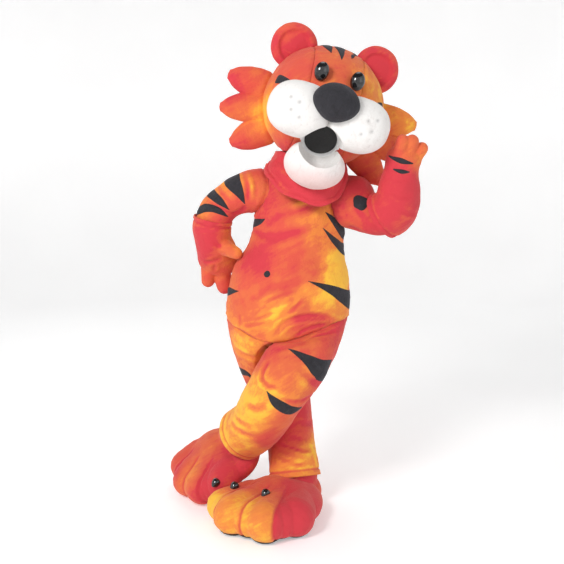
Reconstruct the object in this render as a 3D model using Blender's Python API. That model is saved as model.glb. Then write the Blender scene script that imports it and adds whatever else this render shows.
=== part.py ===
"""Tiger mascot costume: a hollow plush suit held in the pose of its wearer.

One hand rests on the hip, the other is raised beside the cheek, and the left leg crosses in front
of the right. Metres, +Z up. The costume faces -Y, and its own left side is +X. The origin lies
inside the collar, midway between the wearer's shoulders, where the wearer carries the suit.
Names with "left" and "right" are the costume's own left and right.
"""

import math
from collections import namedtuple

import bpy
from mathutils import Matrix, Vector

# ---------------------------------------------------------------- driving sizes, in metres
PLUSH = 0.003            # plush cloth with its pile
FOAM = 0.012             # foam shell of the head, with the plush glued to it
SHOE_FOAM = 0.010        # foam of a paw boot's upper
SOLE_THICK = 0.012
GAP = 0.0003             # between two pieces that meet at a seam
PATCH = 0.0016           # a stripe's own cloth
FLOOR = -1.30            # the surface under the boots, seen from the collar
CLEAR = 0.004            # air between pieces of cloth that only touch
PRESSED = 0.008          # air left between the legs where one presses on the other

ORANGE = (0.80, 0.19, 0.05)
RED = (0.68, 0.10, 0.07)
BLACK = (0.012, 0.012, 0.014)
WHITE = (0.85, 0.84, 0.82)
Finish = namedtuple("Finish", "name colour roughness metallic")
ORANGE_PLUSH = Finish("orange_plush", ORANGE, 0.9, 0.0)
RED_PLUSH = Finish("red_plush", RED, 0.9, 0.0)
BLACK_PLUSH = Finish("black_plush", BLACK, 0.9, 0.0)
WHITE_PLUSH = Finish("white_plush", WHITE, 0.9, 0.0)
BLACK_MESH = Finish("black_mesh", BLACK, 0.8, 0.0)
GLOSS_BLACK = Finish("gloss_black", BLACK, 0.2, 0.0)
SOLE_RUBBER = Finish("sole_rubber", BLACK, 0.7, 0.0)

# ---------------------------------------------------------------- suit tables
# Torso: a level ring of the suit's body a row, from the collar down. wide and deep are half sizes.
Level = namedtuple("Level", "z x y wide deep")
TORSO = [
    Level(0.0627, -0.004, 0.010, 0.108, 0.098),
    Level(0.030, 0.000, 0.010, 0.140, 0.112),
    Level(-0.030, 0.006, 0.008, 0.162, 0.128),
    Level(-0.100, 0.008, 0.004, 0.170, 0.140),
    Level(-0.170, 0.006, 0.000, 0.174, 0.146),
    Level(-0.240, -0.004, -0.004, 0.183, 0.150),
    Level(-0.310, -0.022, -0.006, 0.210, 0.158),
    Level(-0.380, -0.028, -0.006, 0.230, 0.168),
    Level(-0.450, -0.032, -0.004, 0.239, 0.174),
    Level(-0.515, -0.036, 0.000, 0.239, 0.174),
    Level(-0.580, -0.042, -0.004, 0.229, 0.168),
    Level(-0.640, -0.046, -0.008, 0.214, 0.156),
]
HIP_LINE = -0.530        # where the legs are sewn on, at the sides
GROIN_DROP = 0.070       # how much lower that seam runs at the front and the back
CROTCH_DROP = 0.055      # how far the crotch hangs below that
CELL = 360.0 / 28        # degrees between the torso's lines of points
GROIN_FRONT = 8 * CELL   # degrees round the torso from its left side, over the front
GROIN_BACK = 21 * CELL
CROTCH_CELLS = 7
TORSO_ROUND = 28         # cells round the torso
TORSO_RINGS = 11

# Limbs: a ring square to the limb's path a row. wide is half its size across, deep front to back.
Ring = namedtuple("Ring", "x y z wide deep")
SLEEVE_RIGHT = [
    Ring(-0.106, 0.004, -0.034, 0.080, 0.082),
    Ring(-0.158, 0.004, -0.040, 0.086, 0.086),
    Ring(-0.212, 0.006, -0.052, 0.074, 0.078),
    Ring(-0.268, 0.012, -0.078, 0.068, 0.073),
    Ring(-0.312, 0.018, -0.120, 0.070, 0.070),
    Ring(-0.326, 0.018, -0.170, 0.068, 0.068),
]
SLEEVE_LEFT = [
    Ring(0.108, 0.002, -0.044, 0.082, 0.084),
    Ring(0.160, -0.008, -0.063, 0.090, 0.090),
    Ring(0.212, -0.040, -0.082, 0.102, 0.102),
    Ring(0.258, -0.074, -0.118, 0.076, 0.076),
    Ring(0.306, -0.106, -0.140, 0.062, 0.062),
    Ring(0.344, -0.131, -0.120, 0.064, 0.064),
    Ring(0.364, -0.144, -0.082, 0.079, 0.079),
]
GLOVE_RIGHT = [
    Ring(-0.325, 0.020, -0.148, 0.079, 0.079),
    Ring(-0.332, 0.024, -0.188, 0.076, 0.076),
    Ring(-0.328, 0.036, -0.236, 0.072, 0.070),
    Ring(-0.315, 0.056, -0.284, 0.080, 0.058),
    Ring(-0.307, 0.078, -0.330, 0.079, 0.048),
    Ring(-0.308, 0.092, -0.362, 0.058, 0.040),
]
GLOVE_LEFT = [
    Ring(0.318, -0.112, -0.125, 0.101, 0.099),
    Ring(0.345, -0.131, -0.107, 0.094, 0.093),
    Ring(0.362, -0.142, -0.083, 0.087, 0.087),
    Ring(0.370, -0.149, -0.050, 0.082, 0.081),
    Ring(0.374, -0.156, -0.006, 0.074, 0.073),
    Ring(0.378, -0.164, 0.044, 0.063, 0.062),
    Ring(0.386, -0.171, 0.094, 0.064, 0.056),
    Ring(0.394, -0.176, 0.124, 0.046, 0.040),
]
LEG_LEFT = [
    Ring(0.070, -0.004, -0.552, 0.140, 0.150),
    Ring(0.046, -0.055, -0.605, 0.136, 0.144),
    Ring(0.002, -0.120, -0.673, 0.130, 0.132),
    Ring(-0.052, -0.160, -0.748, 0.118, 0.120),
    Ring(-0.106, -0.144, -0.844, 0.111, 0.112),
    Ring(-0.154, -0.078, -0.942, 0.107, 0.106),
    Ring(-0.214, 0.002, -1.014, 0.105, 0.103),
]
LEG_RIGHT = [
    Ring(-0.150, 0.004, -0.552, 0.120, 0.150),
    Ring(-0.148, 0.026, -0.612, 0.118, 0.140),
    Ring(-0.126, 0.056, -0.705, 0.116, 0.126),
    Ring(-0.084, 0.076, -0.810, 0.112, 0.114),
    Ring(-0.046, 0.080, -0.912, 0.105, 0.106),
    Ring(-0.026, 0.044, -1.040, 0.100, 0.102),
    Ring(-0.010, -0.012, -1.190, 0.108, 0.110),
]
LEG_ROUND_BY = 0.45      # share of a leg over which its top, half of the torso's edge, turns round
SLEEVE_ROUND = 16
SLEEVE_RINGS = 8
GLOVE_ROUND = 14
GLOVE_RINGS = 7
LEG_RINGS = 11
ANKLE_ROUND = 14
FOOT_ROUND = 14
FOOT_RINGS = 6

# A round-ended lobe from one point to another, such as a finger or a toe.
Lobe = namedtuple("Lobe", "x0 y0 z0 x1 y1 z1 root tip")
FINGERS_RIGHT = [
    Lobe(-0.350, 0.085, -0.350, -0.355, 0.088, -0.404, 0.031, 0.026),
    Lobe(-0.298, 0.092, -0.356, -0.290, 0.092, -0.426, 0.036, 0.031),
    Lobe(-0.298, 0.016, -0.252, -0.233, -0.046, -0.275, 0.034, 0.024),
]
FINGERS_LEFT = [
    Lobe(0.366, -0.196, 0.112, 0.372, -0.216, 0.150, 0.027, 0.023),
    Lobe(0.396, -0.190, 0.116, 0.408, -0.210, 0.150, 0.027, 0.023),
    Lobe(0.428, -0.176, 0.098, 0.446, -0.192, 0.124, 0.026, 0.022),
]

# ---------------------------------------------------------------- boot tables
# A boot's own frame has its toes along -Y, its sole at zero and its ankle over the origin.
Blob = namedtuple("Blob", "x y z wide long tall")
BOOT_BLOBS = {
    "right": [Blob(0.000, 0.020, 0.056, 0.104, 0.104, 0.070), Blob(0.004, -0.158, 0.060, 0.174, 0.212, 0.084)],
    "left": [Blob(0.000, 0.020, 0.056, 0.104, 0.104, 0.070), Blob(-0.004, -0.128, 0.062, 0.160, 0.160, 0.084),
             Blob(0.096, -0.080, 0.050, 0.085, 0.100, 0.062)],
}
TOES_RIGHT = [
    Lobe(-0.116, -0.150, 0.062, -0.160, -0.274, 0.064, 0.066, 0.066),
    Lobe(-0.046, -0.190, 0.068, -0.080, -0.332, 0.068, 0.074, 0.078),
    Lobe(0.040, -0.190, 0.068, 0.058, -0.336, 0.068, 0.074, 0.078),
    Lobe(0.086, -0.130, 0.062, 0.130, -0.240, 0.064, 0.068, 0.074),
]
TOES_LEFT = [
    Lobe(-0.108, -0.130, 0.062, -0.138, -0.206, 0.066, 0.066, 0.068),
    Lobe(-0.044, -0.160, 0.068, -0.050, -0.248, 0.069, 0.071, 0.072),
    Lobe(0.044, -0.160, 0.068, 0.046, -0.246, 0.069, 0.071, 0.070),
    Lobe(0.106, -0.124, 0.062, 0.130, -0.190, 0.066, 0.062, 0.060),
]
Placing = namedtuple("Placing", "x y z heading pitch roll")
BOOT_RIGHT_AT = Placing(-0.012, -0.024, FLOOR, -28.0, 0.0, 0.0)
BOOT_LEFT_AT = Placing(-0.220, 0.156, -1.116, -55.0, 42.0, 0.0)
ANKLE_RIGHT = [
    Ring(0.000, 0.000, 0.060, 0.092, 0.094),
    Ring(0.000, 0.010, 0.110, 0.090, 0.092),
    Ring(0.000, 0.022, 0.160, 0.088, 0.090),
]
ANKLE_LEFT = [
    Ring(0.030, -0.010, 0.066, 0.080, 0.074),
    Ring(0.080, 0.010, 0.110, 0.084, 0.082),
    Ring(0.122, 0.030, 0.140, 0.080, 0.080),
]

# ---------------------------------------------------------------- head tables
# The head's own frame has its face along -Y and its zero at the middle of the skull.
HEAD_AT = Placing(0.096, -0.030, 0.275, 6.0, 0.0, 15.0)
SKULL_WIDE = 0.226
SKULL_DEEP = 0.222
SKULL_TALL = 0.224
GUSSET_SHARE = 0.42      # half width of the middle strip, as a share of the skull's
HEAD_ROUND = 24
GUSSET_RINGS = 6
SIDE_RINGS = 5
NECK_HOLE_Y = 0.030
NECK_HOLE_HALF = 0.128   # half its width; half its length is NECK_HOLE_LONG
NECK_HOLE_LONG = 0.125
NECK_HOLE_TOP = -0.14    # the cutter's upper end, inside the skull
NECK_HOLE_LOW = -0.30
NECK_HOLE_FLARE = 0.012  # how much wider the cutter is at its lower end
MOUTH_HOLE = Blob(0.0, -0.220, -0.146, 0.078, 0.100, 0.078)
EAR_OUT = 0.160          # an ear's middle, from the head's middle
EAR_UP = 0.186
EAR_ROUND = 0.088
EAR_THICK = 0.034
MUZZLE = Blob(0.106, -0.208, -0.038, 0.116, 0.096, 0.098)
NOSE = Blob(0.0, -0.286, 0.012, 0.084, 0.062, 0.068)
JAW = Blob(0.0, -0.172, -0.214, 0.112, 0.092, 0.086)
EYE = Blob(0.066, -0.206, 0.108, 0.026, 0.022, 0.034)
# Cheek tufts: pointed cushions that fan out from the side of the head. turn is degrees below level.
Tuft = namedtuple("Tuft", "turn root reach wide")
TUFTS = [
    Tuft(-4.0, 0.190, 0.374, 0.062),
    Tuft(15.0, 0.190, 0.388, 0.060),
    Tuft(35.8, 0.190, 0.374, 0.061),
]
TUFT_BACK = 0.030        # how far behind the skull's middle the tufts sit
TUFT_THICK = 0.030

# Neck bib: a flap that hangs from the head over the collar, as level rings from its top down.
BIB = [
    Level(0.112, 0.043, 0.010, 0.128, 0.122),
    Level(0.080, 0.038, 0.003, 0.142, 0.136),
    Level(0.050, 0.031, -0.007, 0.158, 0.152),
    Level(0.010, 0.025, -0.015, 0.178, 0.168),
    Level(-0.060, 0.020, -0.016, 0.190, 0.178),
]
Hem = namedtuple("Hem", "degrees z")
BIB_TOP = 0.112
BIB_HEM = [
    Hem(0.0, 0.060),
    Hem(22.0, 0.024),
    Hem(44.0, -0.062),
    Hem(72.0, -0.090),
    Hem(108.0, -0.050),
    Hem(144.0, 0.020),
    Hem(180.0, 0.066),
    Hem(270.0, 0.060),
    Hem(360.0, 0.060),
]
BIB_ROUND = 24
BIB_RINGS = 5


# ---------------------------------------------------------------- stripes and claws
# A stripe's centre line runs from its wide root to its tip. half is half its width there.
Mark = namedtuple("Mark", "x y z half")
TORSO_STRIPES = {
    "stripe_left_1": [Mark(0.179, 0.024, -0.210, 0.026), Mark(0.169, -0.040, -0.192, 0.024),
                      Mark(0.146, -0.085, -0.155, 0.017), Mark(0.102, -0.113, -0.112, 0.001)],
    "stripe_left_2": [Mark(0.181, 0.024, -0.272, 0.026), Mark(0.170, -0.052, -0.254, 0.022),
                      Mark(0.138, -0.097, -0.219, 0.013), Mark(0.095, -0.124, -0.171, 0.001)],
    "stripe_left_3": [Mark(0.212, 0.024, -0.466, 0.044), Mark(0.192, -0.059, -0.450, 0.034),
                      Mark(0.130, -0.128, -0.405, 0.018), Mark(0.039, -0.163, -0.365, 0.001)],
    "stripe_right_1": [Mark(-0.166, -0.010, -0.164, 0.018), Mark(-0.145, -0.065, -0.154, 0.013),
                       Mark(-0.122, -0.091, -0.140, 0.001)],
    "stripe_right_2": [Mark(-0.262, 0.014, -0.434, 0.018), Mark(-0.259, -0.048, -0.424, 0.015),
                       Mark(-0.221, -0.103, -0.413, 0.001)],
    "navel": [Mark(-0.127, -0.152, -0.340, 0.003), Mark(-0.120, -0.153, -0.340, 0.011),
              Mark(-0.108, -0.155, -0.340, 0.011), Mark(-0.101, -0.156, -0.340, 0.003)],
}
SLEEVE_RIGHT_STRIPES = {
    "arm_stripe_1": [Mark(-0.246, 0.014, 0.006, 0.034), Mark(-0.244, -0.040, -0.004, 0.032),
                     Mark(-0.220, -0.069, -0.040, 0.019), Mark(-0.198, -0.062, -0.086, 0.001)],
    "arm_stripe_2": [Mark(-0.334, 0.024, -0.046, 0.019), Mark(-0.328, -0.018, -0.050, 0.019),
                     Mark(-0.290, -0.055, -0.078, 0.014), Mark(-0.259, -0.050, -0.106, 0.001)],
    "arm_stripe_3": [Mark(-0.388, 0.024, -0.124, 0.016), Mark(-0.373, -0.013, -0.112, 0.017),
                     Mark(-0.352, -0.032, -0.103, 0.017), Mark(-0.320, -0.050, -0.104, 0.014),
                     Mark(-0.291, -0.054, -0.116, 0.011), Mark(-0.264, -0.036, -0.136, 0.001)],
}
SLEEVE_LEFT_STRIPES = {
    "arm_patch": [Mark(0.213, -0.128, -0.092, 0.003), Mark(0.226, -0.130, -0.084, 0.027),
                  Mark(0.244, -0.124, -0.076, 0.025), Mark(0.258, -0.116, -0.070, 0.003)],
}
GLOVE_LEFT_STRIPES = {
    "wrist_stripe_1": [Mark(0.335, -0.188, 0.096, 0.002), Mark(0.367, -0.225, 0.080, 0.010),
                       Mark(0.411, -0.220, 0.070, 0.002)],
    "wrist_stripe_2": [Mark(0.343, -0.210, 0.050, 0.002), Mark(0.371, -0.223, 0.042, 0.008),
                       Mark(0.399, -0.220, 0.040, 0.002)],
}
LEG_LEFT_STRIPES = {
    "thigh_stripe": [Mark(0.110, -0.150, -0.706, 0.046), Mark(0.083, -0.216, -0.690, 0.040),
                     Mark(0.038, -0.243, -0.648, 0.021), Mark(-0.036, -0.226, -0.609, 0.001)],
    "shin_stripe": [Mark(-0.113, -0.265, -0.758, 0.001), Mark(-0.080, -0.271, -0.800, 0.018),
                    Mark(-0.028, -0.249, -0.834, 0.021), Mark(0.010, -0.205, -0.836, 0.006)],
}
LEG_RIGHT_STRIPES = {
    "calf_stripe": [Mark(-0.214, 0.040, -0.752, 0.018), Mark(-0.200, -0.024, -0.756, 0.015),
                    Mark(-0.180, -0.052, -0.790, 0.001)],
}
STRIPE_DEPTH = 0.030     # how far a stripe's cutter reaches to each side of its cloth
# On the head a stripe's line is given as a share of the skull's width and an angle round it.
Band = namedtuple("Band", "share degrees half")
HEAD_STRIPES = {
    "brow_stripe_middle": [Band(0.0, 84.0, 0.024), Band(0.0, 104.0, 0.021), Band(0.0, 132.0, 0.001)],
    "brow_stripe_left": [Band(0.24, 90.0, 0.021), Band(0.22, 104.0, 0.018), Band(0.17, 122.0, 0.001)],
    "brow_stripe_right": [Band(-0.24, 90.0, 0.021), Band(-0.22, 104.0, 0.018),
                          Band(-0.17, 122.0, 0.001)],
    "cheek_stripe_left": [Band(0.90, 150.0, 0.020), Band(0.80, 158.0, 0.015), Band(0.66, 164.0, 0.001)],
    "cheek_stripe_right": [Band(-0.90, 150.0, 0.020), Band(-0.80, 158.0, 0.015),
                           Band(-0.66, 164.0, 0.001)],
}
Claw = namedtuple("Claw", "x y z wide long tall")
CLAW_LEFT = [Claw(-0.316, -0.112, -1.178, 0.016, 0.020, 0.016)]
CLAWS_RIGHT = [
    Claw(-0.243, -0.165, -1.173, 0.016, 0.020, 0.016),
    Claw(-0.121, -0.253, -1.165, 0.016, 0.020, 0.016),
]


# ---------------------------------------------------------------- shapes
def spline(rows, share):
    """A row at a share of a table's length, on a smooth curve through its rows."""
    place = min(max(share, 0.0), 1.0) * (len(rows) - 1)
    i = min(int(place), len(rows) - 2)
    f = place - i
    near = (rows[max(i - 1, 0)], rows[i], rows[i + 1], rows[min(i + 2, len(rows) - 1)])
    values = []
    for a, b, c, d in zip(*near):
        values.append(0.5 * (2 * b + (c - a) * f + (2 * a - 5 * b + 4 * c - d) * f * f
                             + (3 * b - 3 * c + d - a) * f ** 3))
    return type(rows[0])(*values)


def level_at(rows, z):
    """The row of a table of levels at a height."""
    for i in range(len(rows) - 1):
        if z >= rows[i + 1].z or i == len(rows) - 2:
            break
    f = (rows[i].z - z) / (rows[i].z - rows[i + 1].z)
    return spline(rows, (i + f) / (len(rows) - 1))


def placed(at):
    """The matrix of a placing: pitched toes down, turned about Z, then leaned clockwise."""
    return (Matrix.Translation((at.x, at.y, at.z))
            @ Matrix.Rotation(math.radians(at.roll), 4, "Y")
            @ Matrix.Rotation(math.radians(at.heading), 4, "Z")
            @ Matrix.Rotation(math.radians(at.pitch), 4, "X"))


def torso_point(degrees, z):
    row = level_at(TORSO, z)
    angle = math.radians(degrees)
    return Vector((row.x + row.wide * math.cos(angle), row.y - row.deep * math.sin(angle), z))


def groin_dip(degrees):
    """0 at the hips and 1 at the middle of the groin, front and back."""
    dip = 0.0
    for middle in (GROIN_FRONT, GROIN_BACK):
        away = math.radians((degrees - middle + 180.0) % 360.0 - 180.0)
        dip += max(math.cos(away), 0.0) ** 3
    return dip


def torso_edge(degrees):
    return HIP_LINE - GROIN_DROP * groin_dip(degrees)


class Limb:
    """A tube of cloth along a table of rings. Angle 0 is across it and 90 degrees is its front."""

    def __init__(self, rows, cells, relax=0):
        self.rings = []
        for i in range(cells + 1):
            self.rings.append(spline(rows, i / cells))
        self.middles = []
        for ring in self.rings:
            self.middles.append(Vector((ring.x, ring.y, ring.z)))
        ways = []
        for i in range(cells + 1):
            step = self.middles[min(i + 1, cells)] - self.middles[max(i - 1, 0)]
            ways.append(step.normalized())
        for _ in range(relax):
            smooth = []
            for i in range(cells + 1):
                smooth.append((ways[max(i - 1, 0)] + ways[i] + ways[min(i + 1, cells)]).normalized())
            ways = smooth
        self.ways = ways

    def point(self, i, degrees, grow=0.0):
        front = Vector((0.0, -1.0, 0.0))
        front = (front - self.ways[i] * front.dot(self.ways[i])).normalized()
        across = front.cross(self.ways[i])
        angle = math.radians(degrees)
        ring = self.rings[i]
        return (self.middles[i] + across * (ring.wide + grow) * math.cos(angle)
                + front * (ring.deep + grow) * math.sin(angle))

    def grid(self, round_cells, grow=0.0):
        rows = []
        for i in range(len(self.rings)):
            row = []
            for j in range(round_cells):
                row.append(self.point(i, 360.0 * j / round_cells, grow))
            rows.append(row)
        return rows


def normals_of(grid, wrap):
    """The outward direction at each point of a grid whose rows run clockwise seen from outside."""
    last_i = len(grid) - 1
    last_j = len(grid[0]) - 1
    normals = []
    for i in range(last_i + 1):
        row = []
        for j in range(last_j + 1):
            if wrap:
                ahead, behind = (j + 1) % (last_j + 1), (j - 1) % (last_j + 1)
            else:
                ahead, behind = min(j + 1, last_j), max(j - 1, 0)
            along = grid[min(i + 1, last_i)][j] - grid[max(i - 1, 0)][j]
            around = grid[i][ahead] - grid[i][behind]
            row.append(around.cross(along).normalized())
        normals.append(row)
    return normals


def moved(grid, normals, distance):
    rows = []
    for points, ways in zip(grid, normals):
        row = []
        for point, way in zip(points, ways):
            row.append(point + way * distance)
        rows.append(row)
    return rows


# ---------------------------------------------------------------- objects
def material(finish):
    found = bpy.data.materials.get(finish.name)
    if found:
        return found
    made = bpy.data.materials.new(finish.name)
    made.use_nodes = True
    shader = made.node_tree.nodes["Principled BSDF"]
    shader.inputs["Base Color"].default_value = (*finish.colour, 1.0)
    shader.inputs["Roughness"].default_value = finish.roughness
    shader.inputs["Metallic"].default_value = finish.metallic
    return made


def add(name, points, faces, finish=None):
    """A new object. One without a finish is a cutter, which stays hidden."""
    mesh = bpy.data.meshes.new(name)
    mesh.from_pydata([tuple(point) for point in points], [], faces)
    mesh.update()
    piece = bpy.data.objects.new(name, mesh)
    bpy.context.scene.collection.objects.link(piece)
    if finish:
        mesh.materials.append(material(finish))
        mesh.shade_smooth()
        mesh.set_sharp_from_angle(angle=math.radians(40.0))
    else:
        piece.hide_render = True
        piece.display_type = "WIRE"
    return piece


def halved(corners):
    """A cell as triangles on one diagonal, so that forms at different offsets keep the same facets."""
    if len(corners) == 3:
        return [corners]
    return [corners[:3], [corners[0], corners[2], corners[3]]]


def wall(name, outer, inner, finish, wrap=True, tip=False):
    """A wall between two grids. wrap closes it round, and tip closes its last row to a point."""
    rings = len(outer)
    across = len(outer[0])
    points = []
    faces = []
    for grid in (outer, inner):
        for i, row in enumerate(grid):
            if tip and i == rings - 1:
                points.append(row[0])
            else:
                points.extend(row)
    per_side = len(points) // 2

    def at(side, i, j):
        if tip and i == rings - 1:
            return side * per_side + i * across
        return side * per_side + i * across + j % across

    cells = across if wrap else across - 1
    for i in range(rings - 1):
        for j in range(cells):
            for side in (0, 1):
                corners = [at(side, i, j), at(side, i, j + 1), at(side, i + 1, j + 1), at(side, i + 1, j)]
                if tip and i == rings - 2:
                    corners.pop()
                for half in halved(corners):
                    faces.append(half if side == 0 else half[::-1])
    for j in range(cells):
        faces.append([at(0, 0, j + 1), at(0, 0, j), at(1, 0, j), at(1, 0, j + 1)])
        if not tip:
            end = rings - 1
            faces.append([at(0, end, j), at(0, end, j + 1), at(1, end, j + 1), at(1, end, j)])
    if not wrap:
        for i in range(rings - 1):
            faces.append([at(0, i, 0), at(0, i + 1, 0), at(1, i + 1, 0), at(1, i, 0)])
            end = across - 1
            faces.append([at(0, i + 1, end), at(0, i, end), at(1, i, end), at(1, i + 1, end)])
    return add(name, points, faces, finish)


def solid(name, grid, finish=None, ends=None):
    """A closed body whose ends are fans round each end row's middle, or round the given points."""
    across = len(grid[0])
    points = []
    for row in grid:
        points.extend(row)
    faces = []
    for i in range(len(grid) - 1):
        for j in range(across):
            ahead = (j + 1) % across
            faces.extend(halved([i * across + j, i * across + ahead, (i + 1) * across + ahead,
                                 (i + 1) * across + j]))
    first = len(points)
    last_row = (len(grid) - 1) * across
    if ends is None:
        ends = (sum(grid[0], Vector()) / across, sum(grid[-1], Vector()) / across)
    points.extend(ends)
    for j in range(across):
        ahead = (j + 1) % across
        faces.append([ahead, j, first])
        faces.append([last_row + j, last_row + ahead, first + 1])
    return add(name, points, faces, finish)


def lobe(name, row, round_cells, frame=Matrix(), grow=0.0, finish=None):
    """A round-ended bar from one point to another."""
    start = Vector((row.x0, row.y0, row.z0))
    end = Vector((row.x1, row.y1, row.z1))
    way = (end - start).normalized()
    front = Vector((0.0, -1.0, 0.0))
    if abs(front.dot(way)) > 0.9:
        front = Vector((0.0, 0.0, 1.0))
    front = (front - way * front.dot(way)).normalized()
    across = front.cross(way)
    bends = (-60.0, -20.0, 20.0, 60.0)
    stations = []
    for bend in bends[:2]:
        stations.append((start, row.root, bend))
    for bend in bends[2:]:
        stations.append((end, row.tip, bend))
    grid = []
    for middle, radius, bend in stations:
        size = (radius + grow) * math.cos(math.radians(bend))
        centre = middle + way * (radius + grow) * math.sin(math.radians(bend))
        ring = []
        for j in range(round_cells):
            angle = 2.0 * math.pi * j / round_cells
            point = centre + across * size * math.cos(angle) + front * size * math.sin(angle)
            ring.append(frame @ point)
        grid.append(ring)
    return solid(name, grid, finish)


def blob(name, row, round_cells, rings, frame=Matrix(), grow=0.0, finish=None):
    """An ellipsoid."""
    grid = []
    for i in range(rings):
        bend = math.radians(-90.0 + 180.0 * (i + 0.5) / rings)
        ring = []
        for j in range(round_cells):
            angle = -2.0 * math.pi * j / round_cells
            ring.append(frame @ Vector((
                row.x + (row.wide + grow) * math.cos(bend) * math.cos(angle),
                row.y - (row.long + grow) * math.cos(bend) * math.sin(angle),
                row.z + (row.tall + grow) * math.sin(bend))))
        grid.append(ring)
    return solid(name, grid, finish)


def box(name, low, high, frame=Matrix()):
    points = []
    for x in (low[0], high[0]):
        for y in (low[1], high[1]):
            for z in (low[2], high[2]):
                points.append(frame @ Vector((x, y, z)))
    faces = [(0, 1, 3, 2), (4, 6, 7, 5), (0, 4, 5, 1), (2, 3, 7, 6), (0, 2, 6, 4), (1, 5, 7, 3)]
    return add(name, points, faces)


def combine(piece, others, operation, solver="EXACT"):
    for other in others:
        change = piece.modifiers.new(operation.lower(), "BOOLEAN")
        change.operation = operation
        change.solver = solver
        change.object = other


def joined(name, shapes, finish):
    """The union of solids given as functions of a name and a finish."""
    piece = shapes[0](name, finish)
    others = []
    for k, shape in enumerate(shapes[1:]):
        others.append(shape(f"{name}_with_{k}", None))
    combine(piece, others, "UNION", "MANIFOLD")
    return piece


# ---------------------------------------------------------------- suit
def torso_grid(start, end, cells, grow=0.0, below=0.0):
    """Points of the torso between two angles, from the collar to the groin seam."""
    grid = []
    for i in range(TORSO_RINGS + 1):
        row = []
        for j in range(cells + 1):
            degrees = start + (end - start) * j / cells
            top = TORSO[0].z
            z = top + (torso_edge(degrees) - below - top) * i / TORSO_RINGS
            row.append(torso_point(degrees, z))
        grid.append(row)
    if grow:
        closed = abs(end - start) > 359.0
        if closed:
            grid = [row[:-1] for row in grid]
        grid = moved(grid, normals_of(grid, closed), grow)
    return grid


def edge_normal(degrees):
    """The torso's outward direction at its lower edge."""
    edge = torso_edge(degrees)
    point = torso_point(degrees, edge)
    ahead = torso_point(degrees + 2.0, torso_edge(degrees + 2.0))
    below = torso_point(degrees, edge - 0.01)
    return (ahead - point).cross(below - point).normalized()


def panel(name, start, end, cells, finish):
    """A panel of the torso, kept half a gap inside its two side seams."""
    outer = torso_grid(start, end, cells)
    normals = []
    for row in normals_of(torso_grid(start - CELL, end + CELL, cells + 2), False):
        normals.append(row[1:-1])
    normals[-1] = []
    for j in range(cells + 1):
        normals[-1].append(edge_normal(start + CELL * j))
    for row in outer:
        row[0] = row[0].lerp(row[1], GAP / 2.0 / (row[1] - row[0]).length)
        row[-1] = row[-1].lerp(row[-2], GAP / 2.0 / (row[-2] - row[-1]).length)
    return wall(name, outer, moved(outer, normals, -PLUSH), finish, wrap=False)


def arm_cutters():
    """The sleeves' outer forms, grown by the seam's gap."""
    cutters = []
    for name, rows in (("armhole_right", SLEEVE_RIGHT), ("armhole_left", SLEEVE_LEFT)):
        limb = Limb(rows, SLEEVE_RINGS, relax=1)
        cutters.append(solid(name, limb.grid(SLEEVE_ROUND, GAP)[:4]))
    return cutters


def torso():
    cells = TORSO_ROUND // 2
    front = panel("body_front", 0.0, 180.0, cells, ORANGE_PLUSH)
    back_right = panel("body_back_right", 180.0, 270.0, cells // 2, ORANGE_PLUSH)
    back_left = panel("body_back_left", 270.0, 360.0, cells // 2, ORANGE_PLUSH)
    right, left = arm_cutters()
    combine(front, (right, left), "DIFFERENCE")
    combine(back_right, (right,), "DIFFERENCE")
    combine(back_left, (left,), "DIFFERENCE")


def sleeve(name, rows):
    limb = Limb(rows, SLEEVE_RINGS, relax=1)
    outer = limb.grid(SLEEVE_ROUND)
    inner = moved(outer, normals_of(outer, True), -PLUSH)
    piece = wall(name, outer, inner, ORANGE_PLUSH)
    inside = torso_grid(0.0, 360.0, TORSO_ROUND, grow=-PLUSH)
    combine(piece, (solid(f"inside_for_{name}", inside),), "DIFFERENCE")


def level_middle(limb, z):
    """A limb's middle and its half size at a height."""
    for i in range(len(limb.middles) - 1):
        if z >= limb.middles[i + 1].z or i == len(limb.middles) - 2:
            break
    f = min(max((limb.middles[i].z - z) / (limb.middles[i].z - limb.middles[i + 1].z), 0.0), 1.0)
    size = []
    for k in (i, i + 1):
        size.append((limb.rings[k].wide + limb.rings[k].deep) / 2.0)
    return limb.middles[i].lerp(limb.middles[i + 1], f), size[0] + (size[1] - size[0]) * f


def beside(point, own, other):
    """The point, moved back to the plane on which two crossing legs press together."""
    own_middle, own_size = level_middle(own, point.z)
    other_middle, other_size = level_middle(other, point.z)
    way = other_middle - own_middle
    way.z = 0.0
    apart = way.length
    way.normalize()
    limit = (apart + own_size - other_size) / 2.0 - PRESSED / 2.0
    reach = (point - own_middle).dot(way)
    return point - way * max(reach - limit, 0.0)


def leg_top(side):
    """A leg's first row: its half of the torso's edge and then the crotch, and their normals."""
    start, end = (GROIN_BACK - 360.0, GROIN_FRONT) if side > 0 else (GROIN_FRONT, GROIN_BACK)
    edge_cells = round((end - start) / CELL)
    points = []
    normals = []
    for k in range(edge_cells + 1):
        degrees = start + (end - start) * k / edge_cells
        normals.append(edge_normal(degrees))
        points.append(torso_point(degrees, torso_edge(degrees)) + Vector((0.0, 0.0, -GAP)))
    front = torso_point(GROIN_FRONT, torso_edge(GROIN_FRONT))
    back = torso_point(GROIN_BACK, torso_edge(GROIN_BACK))
    for k in range(1, CROTCH_CELLS):
        share = k / CROTCH_CELLS
        if side < 0:
            share = 1.0 - share
        point = front.lerp(back, share)
        point.z -= CROTCH_DROP * math.sin(math.pi * share) + GAP
        points.append(point)
        normals.append(Vector((-side, 0.0, -0.6)).normalized())
    for point in points:
        point.x += side * GAP / 2.0
    return points, normals


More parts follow.
